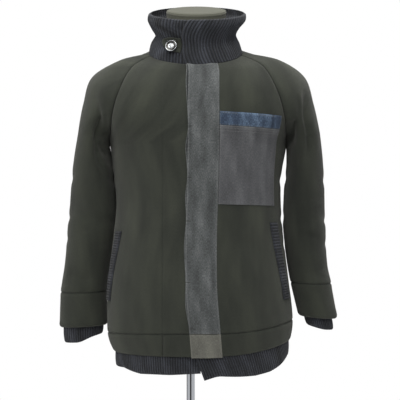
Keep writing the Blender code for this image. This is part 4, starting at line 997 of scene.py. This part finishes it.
# Rib at the hem: share of the way round from the front centre by the wearer's left, and how far it hangs
# there.
hemRib = dict(
    drops=((0.000, 0.0380), (0.050, 0.0420), (0.125, 0.0500), (0.160, 0.0495), (0.195, 0.0430),
           (0.235, 0.0340),
           (0.500, 0.0340), (0.765, 0.0320), (0.825, 0.0300), (0.875, 0.0390), (0.940, 0.0385),
           (1.010, 0.0350)),
    tuck=0.020, cloth=0.0028, pitch=0.0054, rise=0.0013, lap=0.0048, droop=0.013,
)
begin = bodyRow(-1, 0, [-0.01, 0.0])
line = np.concatenate([begin, bodyRow(-1, 0, leftColumns(0)), bodyRow(1, 0, backColumns(0))[1:],
                       bodyRow(-1, 0, rightColumns(0))[1:]])
far = lengths(line) - 0.01
once = float(far[-1] - line[-1, 0])
end = once + 0.006
ribCount = round(end / hemRib["pitch"])
turns = np.linspace(0, 1, ribCount * 8 + 1)
crest = ribCrest(turns * ribCount)
dropAt = np.array(hemRib["drops"])
rows = []
hemShares = np.concatenate([1 - spread(22, 0.55), -np.linspace(0.12, 1, 6)])
for share in hemShares:
    below = max(share, 0)
    start = -0.004 + 0.018 * below
    where = start + (end - start) * turns
    points = readAt(line, far, where)
    step = np.gradient(points[:, :2], axis=0)
    out = np.stack([step[:, 1], -step[:, 0]], axis=-1)
    out /= np.linalg.norm(out, axis=-1, keepdims=True)
    lap = hemRib["lap"] * ease((where - once + 0.07) / 0.06)
    wavy = 0.0012 * below * np.sin(where * 38) + 0.0008 * below * np.sin(where * 71 + 1)
    inward = (shell["cloth"] + 0.0012 + 0.0006 - 0.0015 * below + 0.0030 * below**3 + lap
              + 0.0012 * ease((below - 0.93) / 0.07))
    raise_ = hemRib["rise"] * (crest - 0.2) * ease((0.3 + share) / 0.3) + wavy * ease((where - 0.05) / 0.05)
    points[:, :2] += out * (raise_ - inward)[:, None]
    drop = np.interp(where / once, dropAt[:, 0], dropAt[:, 1])
    points[:, 2] -= drop * below + hemRib["droop"] * below * (1 - ease(where / 0.05))
    points[:, 2] += hemRib["tuck"] * max(-share, 0)
    rows.append(points)
outer = np.array(rows)
coarse = gridNormals(outer[:, ::8])
smooth = np.stack([np.stack([np.interp(turns, turns[::8], coarse[r, :, k]) for k in range(3)],
                            -1) for r in range(len(coarse))])
thick = hemRib["cloth"] - 0.0013 * ease((hemShares - 0.93) / 0.07)
# the rib mark paints light on the rib crests and shade in the valleys
sewCloth("hemRib", outer, outer - smooth * thick[:, None, None],
         dict(finish="ribKnitCotton", slot="rib_knit", replaces=["hem_rib"], flat=(1.13, 0.055), held="hung",
              restsOn=["hem_band_back", "hem_band_front_left", "hem_band_front_right"]),
         marks={"rib": np.broadcast_to(crest - 0.72, outer.shape[:2])})

# Rib cuffs inside the sleeves' hems, shorter towards the body.
cuffs = {
    "Right": dict(side=-1, dropOuter=0.034, dropInner=0.018, inset=0.003, flat=(0.27, 0.045)),
    "Left": dict(side=1, dropOuter=0.026, dropInner=0.019, inset=0.006, flat=(0.25, 0.040)),
}
cuffRibs, cuffTuck = 46, 0.28
for word, plan in cuffs.items():
    side = plan["side"]
    turns = (np.arange(cuffRibs * 8) / (cuffRibs * 8))[::side]
    crest = ribCrest(turns * cuffRibs)
    hem = sleeveRow(side, 0.0, turns)
    axis = hem.mean(axis=0) - sleeveRow(side, 0.5, turns).mean(axis=0)
    axis /= np.linalg.norm(axis)
    drops = np.concatenate([1 - spread(16, 0.6), -np.linspace(0.15, 1, 6)])
    rows = []
    for drop in drops:
        edge = sleeveRow(side, cuffTuck * max(-drop, 0), turns)
        out = edge - edge.mean(axis=0)
        out /= np.linalg.norm(out, axis=-1, keepdims=True)
        reach = plan["dropInner"] + (plan["dropOuter"] - plan["dropInner"]) * ease(0.75 + 0.6 * side
                                                                                   * out[:, 0])
        tighter = plan["inset"] * ease(1 + drop) + 0.003 * max(drop,
                                                               0) ** 3 + 0.0012 * ease((drop - 0.9) / 0.1)
        height = 0.0014 * (crest - 0.2) * ease((0.4 + drop) / 0.4)
        rows.append(edge + out * (height - 0.0038 - tighter)[:, None] + axis
                    * (max(drop, 0) * reach)[:, None])
    outer = np.array(rows)
    inward = outer.mean(axis=1, keepdims=True) - outer
    inward /= np.linalg.norm(inward, axis=-1, keepdims=True)
    thick = hemRib["cloth"] - 0.0013 * ease((drops - 0.9) / 0.1)
    # the rib mark paints light on the cuff's rib crests and shade in its valleys
    sewCloth("cuff" + word, outer, outer + inward * thick[:, None, None],
             dict(finish="ribKnitCotton", slot="rib_knit", replaces=["cuff_" + word.lower()],
                  flat=plan["flat"], held="hung",
                  restsOn=["sleeve_band_" + word.lower()]), ring=True,
             marks={"rib": np.broadcast_to(crest - 0.72, outer.shape[:2])})
print("ribs knitted")

# Stitches: one node group lays a stitch at each step of a sewn line, turned across it for bar tacks.
def makeStitchTree():
    tree = bpy.data.node_groups.new("sewnLine", "GeometryNodeTree")
    sockets = {}
    for name, kind, default in (("Lines", "NodeSocketGeometry", None), ("Pitch", "NodeSocketFloat", 0.003),
                                ("Length", "NodeSocketFloat", 0.0022),
                                ("Thickness", "NodeSocketFloat", 0.0005),
                                ("Turn", "NodeSocketFloat", 0.0), ("Uneven", "NodeSocketFloat", 0.12),
                                ("Seed", "NodeSocketInt", 3), ("Thread", "NodeSocketMaterial", None)):
        made = tree.interface.new_socket(name, in_out="INPUT", socket_type=kind)
        sockets[name] = made.identifier
        if default is not None:
            made.default_value = default
    tree.interface.new_socket("Stitches", in_out="OUTPUT", socket_type="NodeSocketGeometry")
    given = addNode(tree, "NodeGroupInput").outputs
    path = addNode(tree, "GeometryNodeMeshToCurve", {"Mesh": given["Lines"]}).outputs[0]
    stepped = addNode(tree, "GeometryNodeResampleCurve", {"Curve": path, "Length": given["Pitch"]},
                      mode="LENGTH").outputs[0]
    heading = addNode(tree, "GeometryNodeInputTangent").outputs[0]
    outward = addNode(tree, "GeometryNodeInputNamedAttribute", {"Name": "outward"},
                      data_type="FLOAT_VECTOR").outputs["Attribute"]
    ahead = addNode(tree, "FunctionNodeAlignRotationToVector", {"Vector": heading}, axis="X").outputs[0]
    level = addNode(tree, "FunctionNodeAlignRotationToVector", {"Rotation": ahead, "Vector": outward},
                    axis="Z", pivot_axis="X").outputs[0]
    wobble = addNode(tree, "FunctionNodeRandomValue", {"Min": -0.12, "Max": 0.12, "Seed": given["Seed"]},
                     data_type="FLOAT")
    spun = addNode(tree, "ShaderNodeMath", {0: given["Turn"], 1: wobble.outputs[1]},
                   operation="ADD").outputs[0]
    euler = addNode(tree, "ShaderNodeCombineXYZ", {2: spun}).outputs[0]
    turned = addNode(tree, "FunctionNodeRotateRotation", {"Rotation": level, "Rotate By": euler},
                     rotation_space="LOCAL").outputs[0]
    size = addNode(tree, "ShaderNodeCombineXYZ", {0: given["Length"], 1: given["Thickness"],
                                                  2: given["Thickness"]}).outputs[0]
    change = addNode(tree, "FunctionNodeRandomValue", {"Min": 0.86, "Max": 1.08, "Seed": given["Seed"]},
                     data_type="FLOAT")
    sized = addNode(tree, "ShaderNodeVectorMath", {0: size, "Scale": change.outputs[1]},
                    operation="SCALE").outputs[0]
    thread = addNode(tree, "GeometryNodeMeshIcoSphere", {"Radius": 0.5, "Subdivisions": 1}).outputs[0]
    laid = addNode(tree, "GeometryNodeInstanceOnPoints", {"Points": stepped, "Instance": thread,
                                                          "Rotation": turned,
                                                          "Scale": sized}).outputs[0]
    real = addNode(tree, "GeometryNodeRealizeInstances", {"Geometry": laid}).outputs[0]
    soft = addNode(tree, "GeometryNodeSetShadeSmooth", {"Geometry": real}).outputs[0]
    coloured = addNode(tree, "GeometryNodeSetMaterial", {"Geometry": soft,
                                                         "Material": given["Thread"]}).outputs[0]
    addNode(tree, "NodeGroupOutput", {0: coloured})
    return tree, sockets


stitchTree, stitchSockets = makeStitchTree()


def sew(name, lines, thread, slot, **sizes):
    # lines is a list of (points, outward) pairs along the finished cloth
    points, outward, edges, at = [], [], [], 0
    for line, out in lines:
        points.append(line + out * 0.00005 + (formX, 0, 0))
        outward.append(out)
        edges += [(at + k, at + k + 1) for k in range(len(line) - 1)]
        at += len(line)
    mesh = bpy.data.meshes.new(name)
    mesh.from_pydata(np.concatenate(points).tolist(), edges, [])
    ways = mesh.attributes.new("outward", "FLOAT_VECTOR", "POINT")
    ways.data.foreach_set("vector", np.concatenate(outward).astype(np.float32).ravel())
    made = bpy.data.objects.new(name, mesh)
    bpy.context.scene.collection.objects.link(made)
    step = made.modifiers.new("sewnLine", "NODES")
    step.node_group = stitchTree
    for key, value in sizes.items():
        step[stitchSockets[key]] = value
    step[stitchSockets["Thread"]] = finishes[thread]
    flat = bpy.data.meshes.new_from_object(made.evaluated_get(bpy.context.evaluated_depsgraph_get()))
    made.modifiers.remove(step)
    made.data = flat
    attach(made, "root")
    return made


def alongGrid(surface, edge, inset, first=0.0, last=1.0):
    # a line on the cloth at this distance in from one edge of its grid
    points, out = surface
    if edge in "bt":
        points, out = points.transpose(1, 0, 2), out.transpose(1, 0, 2)
    if edge in "rt":
        points, out = points[:, ::-1], out[:, ::-1]
    line, ways = [], []
    for row, way in zip(points, out):
        far = lengths(row)
        line.append(readAt(row, far, inset))
        ways.append(readAt(way, far, inset))
    line, ways = np.array(line), np.array(ways)
    far = lengths(line)
    keep = (far >= first * far[-1]) & (far <= last * far[-1])
    return line[keep], ways[keep] / np.linalg.norm(ways[keep], axis=-1, keepdims=True)


def above(surface, level=underarm):
    # the part of a panel above the underarm
    first = int(np.searchsorted(bodyLevels, level))
    return surface[0][first:], surface[1][first:]


seamed.update(placket=placketTop, placketPatch=patchTop, chestPocket=pocketTop, pocketDenim=denimTop,
              collarTab=tabTop)
bodyRows = []
for name, edge in (("frontRight", "l"), ("frontLeft", "r"), ("back", "l"), ("back", "r")):
    upper = above(seamed[name])
    bodyRows.append(alongGrid(upper, edge, 0.0032))
for name in ("frontRight", "frontLeft", "back"):
    bodyRows.append(alongGrid(seamed[name], "b", 0.0032))
for name in ("sleeveRight", "sleeveLeft"):
    bodyRows.append(alongGrid(seamed[name], "b", 0.0032))
for name in ("hemBandFrontRight", "hemBandFacing", "hemBandFrontLeft", "hemBandBack", "sleeveBandRight",
             "sleeveBandLeft"):
    bodyRows.append(alongGrid(seamed[name], "t", 0.0032))
    bodyRows.append(alongGrid(seamed[name], "b", 0.0085))
sew("stitchesShell", bodyRows, "oliveSewingThread", "body_knit", Pitch=0.0032, Length=0.0025,
    Thickness=0.00055)

facing = seamed["frontRight"]
column = 34  # where the facing is caught down inside
facingRows = [(facing[0][:, column] + 0 * facing[1][:, column], facing[1][:, column])]
bar = seamed["hemBandFacing"]
facingRows.append((bar[0][:, 2], bar[1][:, 2]))
sew("stitchesFacing", facingRows, "oliveSewingThread", "body_knit", Pitch=0.0034, Length=0.0022,
    Thickness=0.00045)

flyRows = [alongGrid(seamed["placket"], "l", 0.0022), alongGrid(seamed["placket"], "r", 0.0022),
           alongGrid(seamed["placketPatch"], "t", 0.0020), alongGrid(seamed["placketPatch"], "b", 0.0030),
           alongGrid(seamed["placketPatch"], "l", 0.0022), alongGrid(seamed["placketPatch"], "r", 0.0022),
           alongGrid(seamed["chestPocket"], "l", 0.0020), alongGrid(seamed["chestPocket"], "r", 0.0020),
           alongGrid(seamed["chestPocket"], "b", 0.0020)]
sew("stitchesFly", flyRows, "greySewingThread", "grey_cotton", Pitch=0.0030, Length=0.0023,
    Thickness=0.00045, Seed=7)
mouthRows = [alongGrid(seamed["chestPocket"], "t", inset) for inset in (0.0015, 0.0062, 0.0118)]
sew("stitchesPocketMouth", mouthRows, "greySewingThread", "grey_cotton", Pitch=0.0030, Length=0.0025,
    Thickness=0.00065, Seed=11)
denimRows = [alongGrid(seamed["pocketDenim"], edge, 0.0018) for edge in "lrb"]
ticks = [alongGrid(seamed["pocketDenim"], "t", 0.0032, first, last) for first,
         last in ((0.03, 0.26), (0.56, 0.86))]
sew("stitchesDenim", denimRows, "greySewingThread", "denim", Pitch=0.0026, Length=0.0020,
    Thickness=0.00050, Seed=5)
sew("stitchesDenimEdge", ticks, "greySewingThread", "denim", Pitch=0.0022, Length=0.0050, Thickness=0.00045,
    Turn=math.pi / 2, Seed=9)

tackLines = []
for level in fly["tacks"]:
    row = int(np.argmin(np.abs(flyLevels - level)))
    strip, out = placketTop
    far = lengths(strip[row])
    where = np.linspace(0.0006, 0.0095, 12)
    tackLines.append((readAt(strip[row], far, where), readAt(out[row], far, where)))
sew("barTacks", tackLines, "darkSewingThread", "grey_cotton", Pitch=0.00042, Length=0.0019,
    Thickness=0.00055,
    Turn=math.pi / 2, Seed=2)

tabRows = [alongGrid(seamed["collarTab"], edge, 0.0028) for edge in "lbt"]
sew("stitchesTab", tabRows, "oliveSewingThread", "body_knit", Pitch=0.0030, Length=0.0022,
    Thickness=0.00045, Seed=4)
row = tabTop[0].shape[0] // 2 - 4
hole = []
for step in (-1, 1):
    far = lengths(tabTop[0][row])
    where = np.linspace(far[-1] * 0.30 + 0.013, far[-1] * 0.30 + 0.030, 16)
    line = readAt(tabTop[0][row], far, where)
    hole.append((line + np.array((0, 0, 0.0009 * step)), readAt(tabTop[1][row], far, where)))
sew("buttonhole", hole, "darkSewingThread", "body_knit", Pitch=0.00050, Length=0.0019, Thickness=0.00055,
    Turn=math.pi / 2, Seed=6)
print("stitches sewn")

# The form keeps its solids. The stand is turned again, finer.
for node in ("form_torso", "form_neck_cap"):
    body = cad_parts[node]
    body.data.materials.clear()
    body.data.materials.append(finishes["formJersey"])

stand = dict(pole=0.009, base=0.165, height=0.010, formFoot=0.640)
upright = ((1, 0, 0), (0, 1, 0), (0, 0, 1))
plate = stand["formFoot"] - seamGap - 0.006
low = stand["height"] + 0.023 + seamGap
spin("standBase", rounded([(0, 0), (stand["base"] - 0.003, 0), (stand["base"], 0.003),
                           (stand["base"], stand["height"] - 0.003),
                           (stand["base"] - 0.003, stand["height"]), (0.026, stand["height"] + 0.004),
                           (0.020, stand["height"] + 0.020), (0.017, stand["height"] + 0.023),
                           (0, stand["height"] + 0.023)],
                          0.0015), (0, 0, 0), upright, "platedSteel", "chrome", ["stand_base"], steps=128)
spin("standPole", rounded([(0, low), (stand["pole"], low), (stand["pole"], plate - seamGap),
                           (0, plate - seamGap)], 0.0005),
     (0, 0, 0), upright, "platedSteel", "chrome", ["stand_pole"], steps=48)
spin("standPlate", rounded([(0, plate), (0.045, plate), (0.045, plate + 0.006), (0, plate + 0.006)], 0.001),
     (0, 0, 0), upright, "platedSteel", "chrome", ["stand_plate"], steps=96)

# Floor, light and camera.
floorMesh = bpy.data.meshes.new("floor")
ring = [(2.3 * math.cos(a), 2.3 * math.sin(a), -0.0005) for a in np.linspace(0, 2 * math.pi, 97)[:-1]]
floorMesh.from_pydata(ring, [], [list(range(96))])
floor = bpy.data.objects.new("floor", floorMesh)
bpy.context.scene.collection.objects.link(floor)
floorMesh.materials.append(makeHard("paleFloor", "E6E5E2", 0.6, grain=0.0001, scale=40))

studio = bpy.data.worlds.new("studio")
studio.use_nodes = True
bpy.context.scene.world = studio
tree = studio.node_tree
tree.nodes.clear()
sees = addNode(tree, "ShaderNodeLightPath").outputs["Is Camera Ray"]
way = addNode(tree, "ShaderNodeTexCoord").outputs["Generated"]
rise = addNode(tree, "ShaderNodeSeparateXYZ", {0: way}).outputs[2]
amount = addNode(tree, "ShaderNodeMapRange", {0: rise, 1: -1.0, 2: 1.0, 3: 0.92, 4: 0.46}).outputs[0]
for away, near, far in (((0, -1, 0), 0.90, 0.97), ((-0.77, 0.64, 0), 0.90, 0.96)):  # dark doorways
    facingIt = addNode(tree, "ShaderNodeVectorMath", {0: way, 1: away},
                       operation="DOT_PRODUCT").outputs["Value"]
    left = addNode(tree, "ShaderNodeMapRange", {0: facingIt, 1: near, 2: far, 3: 1.0, 4: 0.03}).outputs[0]
    amount = addNode(tree, "ShaderNodeMath", {0: amount, 1: left}, operation="MULTIPLY").outputs[0]
glow = addNode(tree, "ShaderNodeBackground", {"Color": (1, 1, 1, 1), "Strength": amount})
white = addNode(tree, "ShaderNodeBackground", {"Color": (1, 1, 1, 1), "Strength": 1.0})
mixed = addNode(tree, "ShaderNodeMixShader", {0: sees, 1: glow.outputs[0], 2: white.outputs[0]})
addNode(tree, "ShaderNodeOutputWorld", {0: mixed.outputs[0]})

lamps = dict(key=dict(place=(-0.35, -2.2, 2.9), size=1.7, power=54),
             top=dict(place=(0.1, -0.1, 3.2), size=1.8, power=58),
             side=dict(place=(-2.6, -0.8, 1.6), size=1.2, power=12))
for name, plan in lamps.items():
    lamp = bpy.data.lights.new(name, "AREA")
    lamp.size, lamp.energy = plan["size"], plan["power"]
    lamp.color = (1.0, 0.985, 0.91)
    made = bpy.data.objects.new(name, lamp)
    made.location = plan["place"]
    made.rotation_euler = (Vector((0.02, 0, 0.95)) - Vector(plan["place"])).to_track_quat("-Z",
                                                                                          "Y").to_euler()
    bpy.context.scene.collection.objects.link(made)

lens = bpy.data.cameras.new("camera")
lens.lens, lens.sensor_width = 98.2, 36.0
camera = bpy.data.objects.new("camera", lens)
camera.location = (0.0204, -2.4, 0.95)
camera.rotation_euler = (math.pi / 2, 0, 0)
bpy.context.scene.collection.objects.link(camera)
bpy.context.scene.camera = camera
bpy.context.scene.view_settings.view_transform = "Standard"
print("stage set")
